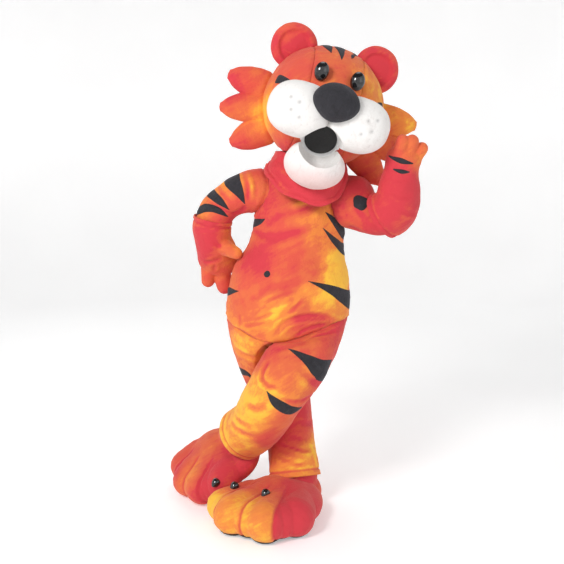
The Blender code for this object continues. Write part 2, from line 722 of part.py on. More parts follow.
def leg_grid(rows, other_rows, side):
    """A leg's outer points, and the directions in which its first row faces."""
    limb = Limb(rows, LEG_RINGS, relax=1)
    other = Limb(other_rows, LEG_RINGS, relax=1)
    top, top_normals = leg_top(side)
    # The ring's own angles start where the top row starts, at the back of the groin or its front.
    turn = -90.0 if side > 0 else 90.0
    outer = []
    for i in range(LEG_RINGS + 1):
        share = i / LEG_RINGS
        ease = min(share / LEG_ROUND_BY, 1.0)
        ease = ease * ease * (3.0 - 2.0 * ease)
        row = []
        for j in range(len(top)):
            round_point = limb.point(i, turn + 360.0 * j / len(top))
            drop = limb.middles[i] - limb.middles[0]
            point = (top[j] + drop).lerp(round_point, ease)
            if i:
                point = beside(point, limb, other)
            row.append(point)
        outer.append(row)
    return outer, top_normals


def leg(name, rows, other_rows, side, at, ankle):
    outer, top_normals = leg_grid(rows, other_rows, side)
    normals = normals_of(outer, True)
    normals[0] = top_normals
    piece = wall(name, outer, moved(outer, normals, -PLUSH), ORANGE_PLUSH)
    combine(piece, boot_cutters(name, at, ankle, CLEAR / 2.0), "DIFFERENCE")


# ---------------------------------------------------------------- gloves and boots
def glove(name, rows, fingers, finish):
    limb = Limb(rows, GLOVE_RINGS)

    def gauntlet(label, look):
        return solid(label, limb.grid(GLOVE_ROUND), look)

    def finger(row):
        return lambda label, look: lobe(label, row, 7, finish=look)

    shapes = [gauntlet]
    for row in fingers:
        shapes.append(finger(row))
    piece = joined(name, shapes, finish)
    inner = limb.grid(GLOVE_ROUND, -PLUSH)
    out = (limb.middles[0] - limb.middles[1]).normalized() * 0.03
    mouth = [point + out for point in inner[0]]
    inner[-1] = [point.lerp(inner[-2][j], 0.1) for j, point in enumerate(inner[-1])]
    cutters = [solid(f"{name}_inside", [mouth] + inner)]
    for k, row in enumerate(fingers):
        cutters.append(lobe(f"{name}_finger_{k}", row, 7, grow=-PLUSH))
    combine(piece, cutters, "DIFFERENCE", "MANIFOLD")


def ankle_shape(label, at, ankle, finish=None, grow=0.0, beyond=0.0):
    """A boot's ankle tube, made longer at its top by beyond."""
    frame = placed(at)
    tube = Limb(ankle, 2)
    grid = []
    for row in tube.grid(ANKLE_ROUND, grow):
        grid.append([frame @ point for point in row])
    if beyond:
        way = (tube.middles[-1] - tube.middles[-2]).normalized() * beyond
        grid.append([frame @ (point + way) for point in tube.grid(ANKLE_ROUND, grow)[-1]])
    return solid(label, grid, finish)


def boot_cutters(name, at, ankle, grow):
    """Cutters of a boot's foot and ankle."""
    cutters = [ankle_shape(f"{name}_ankle", at, ankle, None, grow)]
    side = "left" if name.endswith("left") else "right"
    for k, row in enumerate(BOOT_BLOBS[side]):
        cutters.append(blob(f"{name}_foot_{k}", row, FOOT_ROUND, FOOT_RINGS, placed(at), grow))
    return cutters


def boot(name, at, ankle, toes, finish):
    frame = placed(at)

    def outer_shapes():
        shapes = []
        for row in BOOT_BLOBS[name][::-1]:
            shapes.append(lambda label, look, row=row: blob(
                label, row, FOOT_ROUND, FOOT_RINGS, frame, 0.0, look))
        shapes.append(lambda label, look: ankle_shape(label, at, ankle, look))
        for row in toes:
            shapes.append(lambda label, look, row=row: lobe(label, row, 8, frame, 0.0, look))
        return shapes

    upper = joined(f"boot_{name}", outer_shapes(), finish)
    cutters = [ankle_shape(f"{name}_ankle_inside", at, ankle, None, -SHOE_FOAM, 0.05)]
    for k, row in enumerate(BOOT_BLOBS[name]):
        cutters.append(blob(f"{name}_inside_{k}", row, FOOT_ROUND, FOOT_RINGS, frame, -SHOE_FOAM))
    cutters.append(box(f"{name}_below", (-0.4, -0.6, -0.2), (0.4, 0.4, SOLE_THICK + GAP), frame))
    combine(upper, cutters, "DIFFERENCE", "MANIFOLD")

    sole = joined(f"sole_{name}", outer_shapes(), SOLE_RUBBER)
    slab = box(f"{name}_slab", (-0.4, -0.6, 0.0), (0.4, 0.4, SOLE_THICK), frame)
    combine(sole, (slab,), "INTERSECT", "MANIFOLD")


# ---------------------------------------------------------------- head
def skull_point(share, degrees, grow=0.0):
    """share runs from -1 at the head's right side to 1 at its left; 0 degrees is the back, level."""
    size = math.sqrt(max(1.0 - share * share, 0.0))
    angle = math.radians(degrees)
    return Vector(((SKULL_WIDE + grow) * share,
                   (SKULL_DEEP + grow) * size * math.cos(angle),
                   (SKULL_TALL + grow) * size * math.sin(angle)))


def skull_grid(shares, grow):
    grid = []
    for share in shares:
        row = []
        for j in range(HEAD_ROUND):
            row.append(HEAD @ skull_point(share, 360.0 * j / HEAD_ROUND, grow))
        grid.append(row)
    return grid


HEAD = placed(HEAD_AT)


def shares_between(start, end, cells):
    """Shares of the skull's width at even angles, so that rings keep an even spacing."""
    low, high = math.asin(start), math.asin(end)
    return [math.sin(low + (high - low) * i / cells) for i in range(cells + 1)]


def head_cutters(name):
    neck = []
    for z, grow in ((NECK_HOLE_TOP, 0.0), (NECK_HOLE_LOW, NECK_HOLE_FLARE)):
        ring = []
        for j in range(20):
            angle = -2.0 * math.pi * j / 20
            ring.append(HEAD @ Vector(((NECK_HOLE_HALF + grow) * math.cos(angle),
                                       NECK_HOLE_Y - (NECK_HOLE_LONG + grow) * math.sin(angle), z)))
        neck.append(ring)
    return [solid(f"{name}_neck_hole", neck[::-1])]


def head():
    gap = GAP / 2.0 / SKULL_WIDE
    middle = shares_between(-GUSSET_SHARE, GUSSET_SHARE, GUSSET_RINGS)
    middle[0] += gap
    middle[-1] -= gap
    outer = skull_grid(middle, 0.0)
    inner = skull_grid(middle, -FOAM)
    gusset = wall("head_gusset", outer, inner, ORANGE_PLUSH)
    mouth = blob("mouth_hole", MOUTH_HOLE, 14, 6, HEAD)
    combine(gusset, head_cutters("head_gusset") + [mouth], "DIFFERENCE", "MANIFOLD")
    for name, side in (("left", 1.0), ("right", -1.0)):
        shares = shares_between(GUSSET_SHARE, 1.0, SIDE_RINGS)
        shares[0] += gap
        if side < 0:
            shares = [-share for share in shares]
        outer = skull_grid(shares, 0.0)
        inner = skull_grid(shares, -FOAM)
        if side < 0:
            outer = [row[::-1] for row in outer]
            inner = [row[::-1] for row in inner]
        cap = wall(f"head_side_{name}", outer, inner, ORANGE_PLUSH, tip=True)
        combine(cap, head_cutters(f"head_side_{name}"), "DIFFERENCE")


def skull_solid(name, grow):
    """The whole skull, on the same lines of points as its panels."""
    side = shares_between(GUSSET_SHARE, 1.0, SIDE_RINGS)[1:-1]
    shares = [-share for share in side[::-1]] + shares_between(
        -GUSSET_SHARE, GUSSET_SHARE, GUSSET_RINGS) + side
    poles = (HEAD @ skull_point(-1.0, 0.0, grow), HEAD @ skull_point(1.0, 0.0, grow))
    return solid(name, skull_grid(shares, grow), ends=poles)


def face():
    """Muzzle, nose, jaw, mouth mesh, eyes, ears and tufts, each cut to what carries it."""
    skull = skull_solid("skull_for_face", GAP)
    mouth = blob("mouth_for_face", MOUTH_HOLE, 14, 6, HEAD)
    puffs = []
    for name, side in (("left", 1.0), ("right", -1.0)):
        row = MUZZLE._replace(x=MUZZLE.x * side)
        puff = blob(f"muzzle_{name}", row, 14, 7, HEAD, 0.0, WHITE_PLUSH)
        near, far = (-0.4, GAP / 2.0) if side > 0 else (-GAP / 2.0, 0.4)
        half = box(f"muzzle_half_{name}", (near, -0.5, -0.4), (far, 0.2, 0.4), HEAD)
        combine(puff, (skull, half, mouth), "DIFFERENCE")
        puffs.append(blob(f"muzzle_form_{name}", row, 14, 7, HEAD, GAP))
    nose = blob("nose", NOSE, 12, 6, HEAD, 0.0, BLACK_PLUSH)
    combine(nose, [skull] + puffs, "DIFFERENCE")
    jaw = blob("jaw", JAW, 16, 7, HEAD, 0.0, WHITE_PLUSH)
    under = bib_grid()
    bib = solid("bib_form", moved(under, normals_of(under, True), CLEAR))
    combine(jaw, [skull, mouth, bib] + puffs, "DIFFERENCE")
    mesh = blob("mouth_mesh", MOUTH_HOLE, 12, 5, HEAD, 0.014, BLACK_MESH)
    combine(mesh, (skull_solid("mesh_outside", -FOAM - GAP),), "INTERSECT")
    combine(mesh, (skull_solid("mesh_inside", -FOAM - GAP - PLUSH),), "DIFFERENCE")
    for name, side in (("left", 1.0), ("right", -1.0)):
        eye = blob(f"eye_{name}", EYE._replace(x=EYE.x * side), 10, 5, HEAD, 0.0, GLOSS_BLACK)
        combine(eye, (skull,), "DIFFERENCE")
        ear = Blob(EAR_OUT * side, 0.020, EAR_UP, EAR_ROUND, EAR_THICK, EAR_ROUND)
        combine(blob(f"ear_{name}", ear, 12, 7, HEAD, 0.0, ORANGE_PLUSH), (skull,), "DIFFERENCE")
        middle = cheek_tuft(f"tuft_form_{name}", TUFTS[1], side, None, GAP)
        for k, tuft in enumerate(TUFTS):
            piece = cheek_tuft(f"tuft_{name}_{k + 1}", tuft, side, ORANGE_PLUSH)
            combine(piece, (skull,) if k == 1 else (skull, middle), "DIFFERENCE")


def cheek_tuft(name, tuft, side, finish, grow=0.0):
    """A pointed cushion from inside the skull's outline to its tip."""
    angle = math.radians(tuft.turn)
    way = Vector((side * math.cos(angle), 0.0, -math.sin(angle)))
    across = Vector((math.sin(angle), 0.0, side * math.cos(angle)))
    front = Vector((0.0, -1.0, 0.0))
    grid = []
    for share, size in ((0.0, 0.9), (0.3, 1.0), (0.6, 0.88), (0.85, 0.58), (0.97, 0.26)):
        reach = tuft.root + (tuft.reach - tuft.root) * share
        ring = []
        for j in range(10):
            turn = 2.0 * math.pi * j / 10
            offset = across * (tuft.wide * size + grow) * math.cos(turn)
            offset += front * (TUFT_THICK * size + grow) * math.sin(turn)
            ring.append(HEAD @ (way * reach + offset + Vector((0.0, TUFT_BACK, 0.0))))
        grid.append(ring)
    return solid(name, grid, finish)


def hem_at(degrees):
    """The bib's lowest height at an angle round it."""
    for k in range(len(BIB_HEM) - 1):
        if degrees <= BIB_HEM[k + 1].degrees:
            break
    near, far = BIB_HEM[k], BIB_HEM[k + 1]
    share = (degrees - near.degrees) / (far.degrees - near.degrees)
    ease = share * share * (3.0 - 2.0 * share)
    return near.z + (far.z - near.z) * ease


def bib_grid():
    grid = []
    for i in range(BIB_RINGS + 1):
        row = []
        for j in range(BIB_ROUND):
            degrees = 360.0 * j / BIB_ROUND
            z = BIB_TOP + (hem_at(degrees) - BIB_TOP) * i / BIB_RINGS
            ring = level_at(BIB, z)
            angle = math.radians(degrees)
            row.append(Vector((ring.x + ring.wide * math.cos(angle),
                               ring.y - ring.deep * math.sin(angle), z)))
        grid.append(row)
    return grid


def neck_bib():
    grid = bib_grid()
    bib = wall("neck_bib", grid, moved(grid, normals_of(grid, True), -PLUSH), RED_PLUSH)
    combine(bib, (skull_solid("skull_for_bib", GAP),), "DIFFERENCE")


# ---------------------------------------------------------------- stripes and claws
def nearest_on(middles, point):
    """The nearest point on a line through some middles."""
    best = middles[0]
    for a, b in zip(middles, middles[1:]):
        way = b - a
        share = min(max((point - a).dot(way) / way.length_squared, 0.0), 1.0)
        spot = a + way * share
        if (point - spot).length < (point - best).length:
            best = spot
    return best


def stripe(name, points, halves, middles, form):
    """A patch of cloth cut from a shell over a form, GAP to GAP + PATCH off it."""
    rows = []
    for k, point in enumerate(points):
        out = (point - nearest_on(middles, point)).normalized()
        way = points[min(k + 1, len(points) - 1)] - points[max(k - 1, 0)]
        side = out.cross(way).normalized() * halves[k]
        deep = out * STRIPE_DEPTH
        rows.append([point + side - deep, point + side + deep, point - side + deep, point - side - deep])
    piece = solid(name, rows, BLACK_PLUSH)
    combine(piece, (form(f"{name}_over", GAP + PATCH),), "INTERSECT")
    combine(piece, (form(f"{name}_under", GAP),), "DIFFERENCE")
    return piece


def striped(stripes, middles, form, beside_it=()):
    """A panel's stripes, kept clear of the pieces beside it."""
    for name, marks in stripes.items():
        points = [Vector((mark.x, mark.y, mark.z)) for mark in marks]
        piece = stripe(name, points, [mark.half for mark in marks], middles, form)
        combine(piece, beside_it, "DIFFERENCE")


def suit_stripes():
    arm_right = Limb(SLEEVE_RIGHT, SLEEVE_RINGS, relax=1)
    arm_left = Limb(SLEEVE_LEFT, SLEEVE_RINGS, relax=1)
    hand_left = Limb(GLOVE_LEFT, GLOVE_RINGS)
    middles = [Vector((row.x, row.y, row.z)) for row in TORSO]
    beside_arm = solid("beside_arm_left", arm_left.grid(SLEEVE_ROUND, 2.0 * GAP))
    striped(TORSO_STRIPES, middles, lambda label, grow: solid(
        label, torso_grid(0.0, 360.0, TORSO_ROUND, grow)), (beside_arm,))
    beside_elbow = solid("beside_arm_right", arm_right.grid(SLEEVE_ROUND, GAP))
    for stripes, limb, outer in (
            (SLEEVE_RIGHT_STRIPES, arm_right, arm_right.grid(SLEEVE_ROUND)),
            (SLEEVE_LEFT_STRIPES, arm_left, arm_left.grid(SLEEVE_ROUND)),
            (GLOVE_LEFT_STRIPES, hand_left, hand_left.grid(GLOVE_ROUND)),
            (LEG_LEFT_STRIPES, Limb(LEG_LEFT, LEG_RINGS, relax=1), leg_grid(LEG_LEFT, LEG_RIGHT, 1.0)[0]),
            (LEG_RIGHT_STRIPES, Limb(LEG_RIGHT, LEG_RINGS, relax=1),
             leg_grid(LEG_RIGHT, LEG_LEFT, -1.0)[0])):
        normals = normals_of(outer, True)
        striped(stripes, limb.middles, lambda label, grow, outer=outer, normals=normals: solid(
            label, moved(outer, normals, grow)), (beside_elbow,) if limb is arm_right else ())


def head_stripes():
    middle = [HEAD @ Vector((0.0, 0.0, 0.0))]
    for name, bands in HEAD_STRIPES.items():
        points = [HEAD @ skull_point(band.share, band.degrees) for band in bands]
        stripe(name, points, [band.half for band in bands], middle, skull_solid)


def claws():
    for name, rows, at, ankle, toes in (("left", CLAW_LEFT, BOOT_LEFT_AT, ANKLE_LEFT, TOES_LEFT),
                                        ("right", CLAWS_RIGHT, BOOT_RIGHT_AT, ANKLE_RIGHT, TOES_RIGHT)):
        under = boot_cutters(f"claws_{name}", at, ankle, GAP)
        for k, row in enumerate(toes):
            under.append(lobe(f"claws_{name}_toe_{k}", row, 8, placed(at), GAP))
        for k, row in enumerate(rows):
            piece = blob(f"claw_{name}_{k + 1}", Blob(*row), 8, 5, finish=GLOSS_BLACK)
            combine(piece, under, "DIFFERENCE")


# ---------------------------------------------------------------- build
def build():
    for old in list(bpy.data.objects):
        bpy.data.objects.remove(old, do_unlink=True)
    torso()
    sleeve("sleeve_right", SLEEVE_RIGHT)
    sleeve("sleeve_left", SLEEVE_LEFT)
    leg("leg_left", LEG_LEFT, LEG_RIGHT, 1.0, BOOT_LEFT_AT, ANKLE_LEFT)
    leg("leg_right", LEG_RIGHT, LEG_LEFT, -1.0, BOOT_RIGHT_AT, ANKLE_RIGHT)
    glove("glove_right", GLOVE_RIGHT, FINGERS_RIGHT, ORANGE_PLUSH)
    glove("glove_left", GLOVE_LEFT, FINGERS_LEFT, RED_PLUSH)
    boot("right", BOOT_RIGHT_AT, ANKLE_RIGHT, TOES_RIGHT, ORANGE_PLUSH)
    boot("left", BOOT_LEFT_AT, ANKLE_LEFT, TOES_LEFT, ORANGE_PLUSH)
    head()
    face()
    neck_bib()
    suit_stripes()
    head_stripes()
    claws()


build()
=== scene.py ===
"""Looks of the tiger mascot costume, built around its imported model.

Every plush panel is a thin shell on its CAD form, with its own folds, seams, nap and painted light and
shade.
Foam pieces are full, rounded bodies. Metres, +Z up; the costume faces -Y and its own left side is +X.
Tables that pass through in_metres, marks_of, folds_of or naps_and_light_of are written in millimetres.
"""

import math
from collections import namedtuple

import bmesh
import bpy
import numpy as np
from mathutils import Matrix, Vector
from mathutils.bvhtree import BVHTree


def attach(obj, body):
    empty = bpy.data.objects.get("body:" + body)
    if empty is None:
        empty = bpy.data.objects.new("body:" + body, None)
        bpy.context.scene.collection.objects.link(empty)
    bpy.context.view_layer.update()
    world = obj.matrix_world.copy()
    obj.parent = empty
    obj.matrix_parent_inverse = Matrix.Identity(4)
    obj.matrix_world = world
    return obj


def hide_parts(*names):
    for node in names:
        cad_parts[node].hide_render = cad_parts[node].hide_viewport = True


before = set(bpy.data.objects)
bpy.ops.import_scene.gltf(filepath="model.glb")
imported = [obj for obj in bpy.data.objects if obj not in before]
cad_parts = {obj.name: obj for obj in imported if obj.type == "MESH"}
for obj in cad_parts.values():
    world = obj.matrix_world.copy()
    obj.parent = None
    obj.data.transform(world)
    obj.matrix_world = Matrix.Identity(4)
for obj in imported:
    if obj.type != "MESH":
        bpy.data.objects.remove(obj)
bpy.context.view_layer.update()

MM = 1000.0              # millimetres in a metre

# ---------------------------------------------------------------- driving sizes, in metres
PLUSH = 0.003            # a cloth wall, with its pile
FOAM = 0.012             # the head's wall
SHOE_FOAM = 0.010        # a boot's wall
SOLE_THICK = 0.012
GAP = 0.0003             # between pieces that meet at a seam
PATCH = 0.0022           # how far a stripe's pile stands off the panel's
FLOOR = -1.30            # under the soles, measured from the collar
PRESSED = 0.008          # between the legs where they press together
PRESS_SOFT = 0.003       # over which a pressed leg's flat eases into its round
PAD_STEP = 0.0048        # between a padded piece's points
PAW_VOXEL = 0.0042       # of a boot's or glove's joined form
FRONT = np.array([0.0, -1.0, 0.0])
UP = np.array([0.0, 0.0, 1.0])

# ---------------------------------------------------------------- forms, as in the CAD source
def in_metres(kind, table):
    """A table that is written in millimetres."""
    return [kind(*[value / MM for value in row]) for row in table]


Level = namedtuple("Level", "z x y wide deep")
TORSO = in_metres(Level, [
    (62.7, -4, 10, 108, 98),
    (30, 0, 10, 140, 112),
    (-30, 6, 8, 162, 128),
    (-100, 8, 4, 170, 140),
    (-170, 6, 0, 174, 146),
    (-240, -4, -4, 183, 150),
    (-310, -22, -6, 210, 158),
    (-380, -28, -6, 230, 168),
    (-450, -32, -4, 239, 174),
    (-515, -36, 0, 239, 174),
    (-580, -42, -4, 229, 168),
    (-640, -46, -8, 214, 156),
])
HIP_LINE = -0.530        # the torso's lower seam at the sides
GROIN_DROP = 0.070       # how far that seam dips in front and behind
CROTCH_DROP = 0.055      # and how far the crotch hangs below it
CELL = 360.0 / 28        # degrees of the torso that a cell of its seam takes
GROIN_FRONT = 8 * CELL
GROIN_BACK = 21 * CELL
CROTCH_CELLS = 7
Ring = namedtuple("Ring", "x y z wide deep")
SLEEVE_RIGHT = in_metres(Ring, [
    (-106, 4, -34, 80, 82),
    (-158, 4, -40, 86, 86),
    (-212, 6, -52, 74, 78),
    (-268, 12, -78, 68, 73),
    (-312, 18, -120, 70, 70),
    (-326, 18, -170, 68, 68),
])
SLEEVE_LEFT = in_metres(Ring, [
    (108, 2, -44, 82, 84),
    (160, -8, -63, 90, 90),
    (212, -40, -82, 102, 102),
    (258, -74, -118, 76, 76),
    (306, -106, -140, 62, 62),
    (344, -131, -120, 64, 64),
    (364, -144, -82, 79, 79),
])
GLOVE_RIGHT = in_metres(Ring, [
    (-325, 20, -148, 79, 79),
    (-332, 24, -188, 76, 76),
    (-328, 36, -236, 72, 70),
    (-315, 56, -284, 80, 58),
    (-307, 78, -330, 79, 48),
    (-308, 92, -362, 58, 40),
])
GLOVE_LEFT = in_metres(Ring, [
    (318, -112, -125, 101, 99),
    (345, -131, -107, 94, 93),
    (362, -142, -83, 87, 87),
    (370, -149, -50, 82, 81),
    (374, -156, -6, 74, 73),
    (378, -164, 44, 63, 62),
    (386, -171, 94, 64, 56),
    (394, -176, 124, 46, 40),
])
LEG_LEFT = in_metres(Ring, [
    (70, -4, -552, 140, 150),
    (46, -55, -605, 136, 144),
    (2, -120, -673, 130, 132),
    (-52, -160, -748, 118, 120),
    (-106, -144, -844, 111, 112),
    (-154, -78, -942, 107, 106),
    (-214, 2, -1014, 105, 103),
])
LEG_RIGHT = in_metres(Ring, [
    (-150, 4, -552, 120, 150),
    (-148, 26, -612, 118, 140),
    (-126, 56, -705, 116, 126),
    (-84, 76, -810, 112, 114),
    (-46, 80, -912, 105, 106),
    (-26, 44, -1040, 100, 102),
    (-10, -12, -1190, 108, 110),
])
LEG_ROUND_BY = 0.45      # share of a leg's length by which it has turned round
SLEEVE_CELLS = 8         # along each limb, in its CAD form
GLOVE_CELLS = 7
LEG_CELLS = 11
Lobe = namedtuple("Lobe", "x0 y0 z0 x1 y1 z1 root tip")
FINGERS_RIGHT = in_metres(Lobe, [
    (-350, 85, -350, -355, 88, -404, 31, 26),
    (-298, 92, -356, -290, 92, -426, 36, 31),
    (-298, 16, -252, -233, -46, -275, 34, 24),
])
FINGERS_LEFT = in_metres(Lobe, [
    (366, -196, 112, 372, -216, 150, 27, 23),
    (396, -190, 116, 408, -210, 150, 27, 23),
    (428, -176, 98, 446, -192, 124, 26, 22),
])
Blob = namedtuple("Blob", "x y z wide long tall")
BOOT_BLOBS = {
    "right": in_metres(Blob, [(0, 20, 56, 104, 104, 70), (4, -158, 60, 174, 212, 84)]),
    "left": in_metres(Blob, [(0, 20, 56, 104, 104, 70), (-4, -128, 62, 160, 160, 84),
                             (96, -80, 50, 85, 100, 62)]),
}
TOES_RIGHT = in_metres(Lobe, [
    (-116, -150, 62, -160, -274, 64, 66, 66),
    (-46, -190, 68, -80, -332, 68, 74, 78),
    (40, -190, 68, 58, -336, 68, 74, 78),
    (86, -130, 62, 130, -240, 64, 68, 74),
])
TOES_LEFT = in_metres(Lobe, [
    (-108, -130, 62, -138, -206, 66, 66, 68),
    (-44, -160, 68, -50, -248, 69, 71, 72),
    (44, -160, 68, 46, -246, 69, 71, 70),
    (106, -124, 62, 130, -190, 66, 62, 60),
])
Placing = namedtuple("Placing", "x y z heading pitch roll")
BOOT_RIGHT_AT = Placing(-0.012, -0.024, FLOOR, -28.0, 0.0, 0.0)
BOOT_LEFT_AT = Placing(-0.220, 0.156, -1.116, -55.0, 42.0, 0.0)
ANKLE_RIGHT = in_metres(Ring, [
    (0, 0, 60, 92, 94),
    (0, 10, 110, 90, 92),
    (0, 22, 160, 88, 90),
])
ANKLE_LEFT = in_metres(Ring, [
    (30, -10, 66, 80, 74),
    (80, 10, 110, 84, 82),
    (122, 30, 140, 80, 80),
])
HEAD_AT = Placing(0.096, -0.030, 0.275, 6.0, 0.0, 15.0)
SKULL = (0.226, 0.222, 0.224)
GUSSET_SHARE = 0.42
NECK_HOLE = (0.030, 0.128, 0.125, -0.14, -0.30, 0.012)   # y, half width, half length, top, low, flare
MOUTH_HOLE = Blob(0.0, -0.220, -0.146, 0.078, 0.100, 0.078)
EAR = Blob(0.160, 0.020, 0.186, 0.088, 0.034, 0.088)
MUZZLE = Blob(0.106, -0.208, -0.038, 0.116, 0.096, 0.098)
NOSE = Blob(0.0, -0.286, 0.012, 0.084, 0.062, 0.068)
JAW = Blob(0.0, -0.172, -0.214, 0.112, 0.092, 0.086)
EYE = Blob(0.066, -0.206, 0.108, 0.026, 0.022, 0.034)
Tuft = namedtuple("Tuft", "turn root reach wide")
TUFTS = [
    Tuft(-4.0, 0.190, 0.374, 0.062),
    Tuft(15.0, 0.190, 0.388, 0.060),
    Tuft(35.8, 0.190, 0.374, 0.061),
]
TUFT_BACK = 0.030
TUFT_THICK = 0.030
BIB = in_metres(Level, [
    (112, 43, 10, 128, 122),
    (80, 38, 3, 142, 136),
    (50, 31, -7, 158, 152),
    (10, 25, -15, 178, 168),
    (-60, 20, -16, 190, 178),
])
BIB_TOP = 0.112
Hem = namedtuple("Hem", "degrees z")
BIB_HEM = [
    Hem(0.0, 0.060), Hem(22.0, 0.024), Hem(44.0, -0.062), Hem(72.0, -0.090), Hem(108.0, -0.050),
    Hem(144.0, 0.020), Hem(180.0, 0.066), Hem(270.0, 0.060), Hem(360.0, 0.060),
]

# ---------------------------------------------------------------- stripes, as in the CAD source
Mark = namedtuple("Mark", "x y z half")


def marks_of(*table):
    return in_metres(Mark, table)


TORSO_STRIPES = {
    "stripe_left_1": marks_of((179, 24, -210, 26), (169, -40, -192, 24), (146, -85, -155, 17),
        (102, -113, -112, 1)),
    "stripe_left_2": marks_of((181, 24, -272, 26), (170, -52, -254, 22), (138, -97, -219, 13),
        (95, -124, -171, 1)),
    "stripe_left_3": marks_of((212, 24, -466, 44), (192, -59, -450, 34), (130, -128, -405, 18),
        (39, -163, -365, 1)),
    "stripe_right_1": marks_of((-166, -10, -164, 18), (-145, -65, -154, 13), (-122, -91, -140, 1)),
    "stripe_right_2": marks_of((-262, 14, -434, 18), (-259, -48, -424, 15), (-221, -103, -413, 1)),
    "navel": marks_of((-127, -152, -340, 3), (-120, -153, -340, 11), (-108, -155, -340, 11),
        (-101, -156, -340, 3)),
}
SLEEVE_RIGHT_STRIPES = {
    "arm_stripe_1": marks_of((-246, 14, 6, 34), (-244, -40, -4, 32), (-220, -69, -40, 19),
        (-198, -62, -86, 1)),
    "arm_stripe_2": marks_of((-334, 24, -46, 19), (-328, -18, -50, 19), (-290, -55, -78, 14),
        (-259, -50, -106, 1)),
    "arm_stripe_3": marks_of((-388, 24, -124, 16), (-373, -13, -112, 17), (-352, -32, -103, 17),
        (-320, -50, -104, 14), (-291, -54, -116, 11), (-264, -36, -136, 1)),
}
SLEEVE_LEFT_STRIPES = {
    "arm_patch": marks_of((213, -128, -92, 3), (226, -130, -84, 27), (244, -124, -76, 25),
        (258, -116, -70, 3)),
}
GLOVE_LEFT_STRIPES = {
    "wrist_stripe_1": marks_of((335, -188, 96, 2), (367, -225, 80, 10), (411, -220, 70, 2)),
    "wrist_stripe_2": marks_of((343, -210, 50, 2), (371, -223, 42, 8), (399, -220, 40, 2)),
}
LEG_LEFT_STRIPES = {
    "thigh_stripe": marks_of((110, -150, -706, 46), (83, -216, -690, 40), (38, -243, -648, 21),
        (-36, -226, -609, 1)),
    "shin_stripe": marks_of((-113, -265, -758, 1), (-80, -271, -800, 18), (-28, -249, -834, 21),
        (10, -205, -836, 6)),
}
LEG_RIGHT_STRIPES = {
    "calf_stripe": marks_of((-214, 40, -752, 18), (-200, -24, -756, 15), (-180, -52, -790, 1)),
}
Band = namedtuple("Band", "share degrees half")
BROW = [Band(0.24, 90.0, 0.021), Band(0.22, 104.0, 0.018), Band(0.17, 122.0, 0.001)]
CHEEK = [Band(0.90, 150.0, 0.020), Band(0.80, 158.0, 0.015), Band(0.66, 164.0, 0.001)]


def other_side(bands):
    return [band._replace(share=-band.share) for band in bands]


HEAD_STRIPES = {
    "brow_stripe_middle": [Band(0.0, 84.0, 0.024), Band(0.0, 104.0, 0.021), Band(0.0, 132.0, 0.001)],
    "brow_stripe_left": BROW,
    "brow_stripe_right": other_side(BROW),
    "cheek_stripe_left": CHEEK,
    "cheek_stripe_right": other_side(CHEEK),
}
CLAWS = dict(zip(("claw_left_1", "claw_right_1", "claw_right_2"), in_metres(Blob, [
    (-316, -112, -1178, 16, 20, 16),
    (-243, -165, -1173, 16, 20, 16),
    (-121, -253, -1165, 16, 20, 16),
])))

# ---------------------------------------------------------------- folds
# A fold is a soft trough along its points, as deep as depth; a negative depth makes a ridge.
Fold = namedtuple("Fold", "width depth points")


def folds_of(table):
    """Folds from rows of a width in millimetres, a depth in tenths of one, and points."""
    return [Fold(width / MM, depth / (10.0 * MM), [tuple(value / MM for value in point) for point in points])
            for width, depth, *points in table]


BODY_FOLDS = folds_of([
    (10, 50, (-265, -35, -567), (-214, -114, -569), (-179, -136, -588), (-126, -138, -622)),
    (7, 38, (-206, -120, -549), (-164, -146, -535), (-118, -163, -520)),
    (6, 26, (-218, -112, -500), (-218, -112, -554)),
    (9, 72, (-92, -167, -577), (-62, -172, -534), (-17, -174, -507), (32, -167, -497), (93, -147, -501),
        (160, -94, -535)),
    (6, 50, (-13, -169, -576), (36, -163, -546), (107, -137, -533), (158, -105, -547)),
    (5, 44, (-81, -168, -577), (-39, -173, -533), (13, -171, -515), (85, -150, -514), (136, -118, -530)),
    (7, 42, (-33, -176, -483), (-2, -175, -456), (20, -173, -435)),
    (7, 36, (-129, -161, -448), (-65, -174, -419), (-2, -173, -401)),
    (7, 36, (-167, -144, -520), (-110, -166, -493), (-47, -176, -468)),
    (12, -26, (-32, -131, -99), (9, -131, -81), (57, -122, -67)),
    (15, 34, (-103, -112, -140), (-28, -137, -112), (53, -132, -93), (106, -110, -84)),
    (16, 40, (-118, -115, -221), (-32, -145, -191), (53, -139, -166)),
    (14, 32, (-95, -168, -402), (-28, -174, -382), (42, -161, -354)),
    (13, -40, (-103, -167, -508), (-69, -174, -469), (-25, -176, -438)),
    (14, 28, (-178, -140, -441), (-133, -160, -414), (-80, -167, -368)),
    (12, 36, (-172, -30, -186), (-157, -62, -192), (-118, -110, -202), (-80, -132, -200)),
    (13, 30, (176, -53, -301), (134, -110, -308), (92, -141, -330)),
    # The back: waist, seat and below the shoulders.
    (15, 48, (-160, 60, -236), (-90, 128, -250), (-10, 146, -246)),
    (13, 40, (30, 146, -262), (105, 120, -244), (168, 52, -226)),
    (14, 36, (-130, 106, -200), (-60, 140, -206), (10, 144, -190)),
    (15, 44, (60, 142, -330), (-10, 154, -316), (-90, 142, -300)),
    (14, 60, (-180, 120, -560), (-110, 156, -585), (-50, 164, -590)),
    (13, 56, (-30, 164, -592), (40, 154, -578), (120, 110, -548)),
    (16, 34, (-100, 90, -60), (-30, 130, -96), (40, 138, -100)),
    (12, 30, (110, 90, -70), (70, 122, -110), (50, 138, -160)),
])
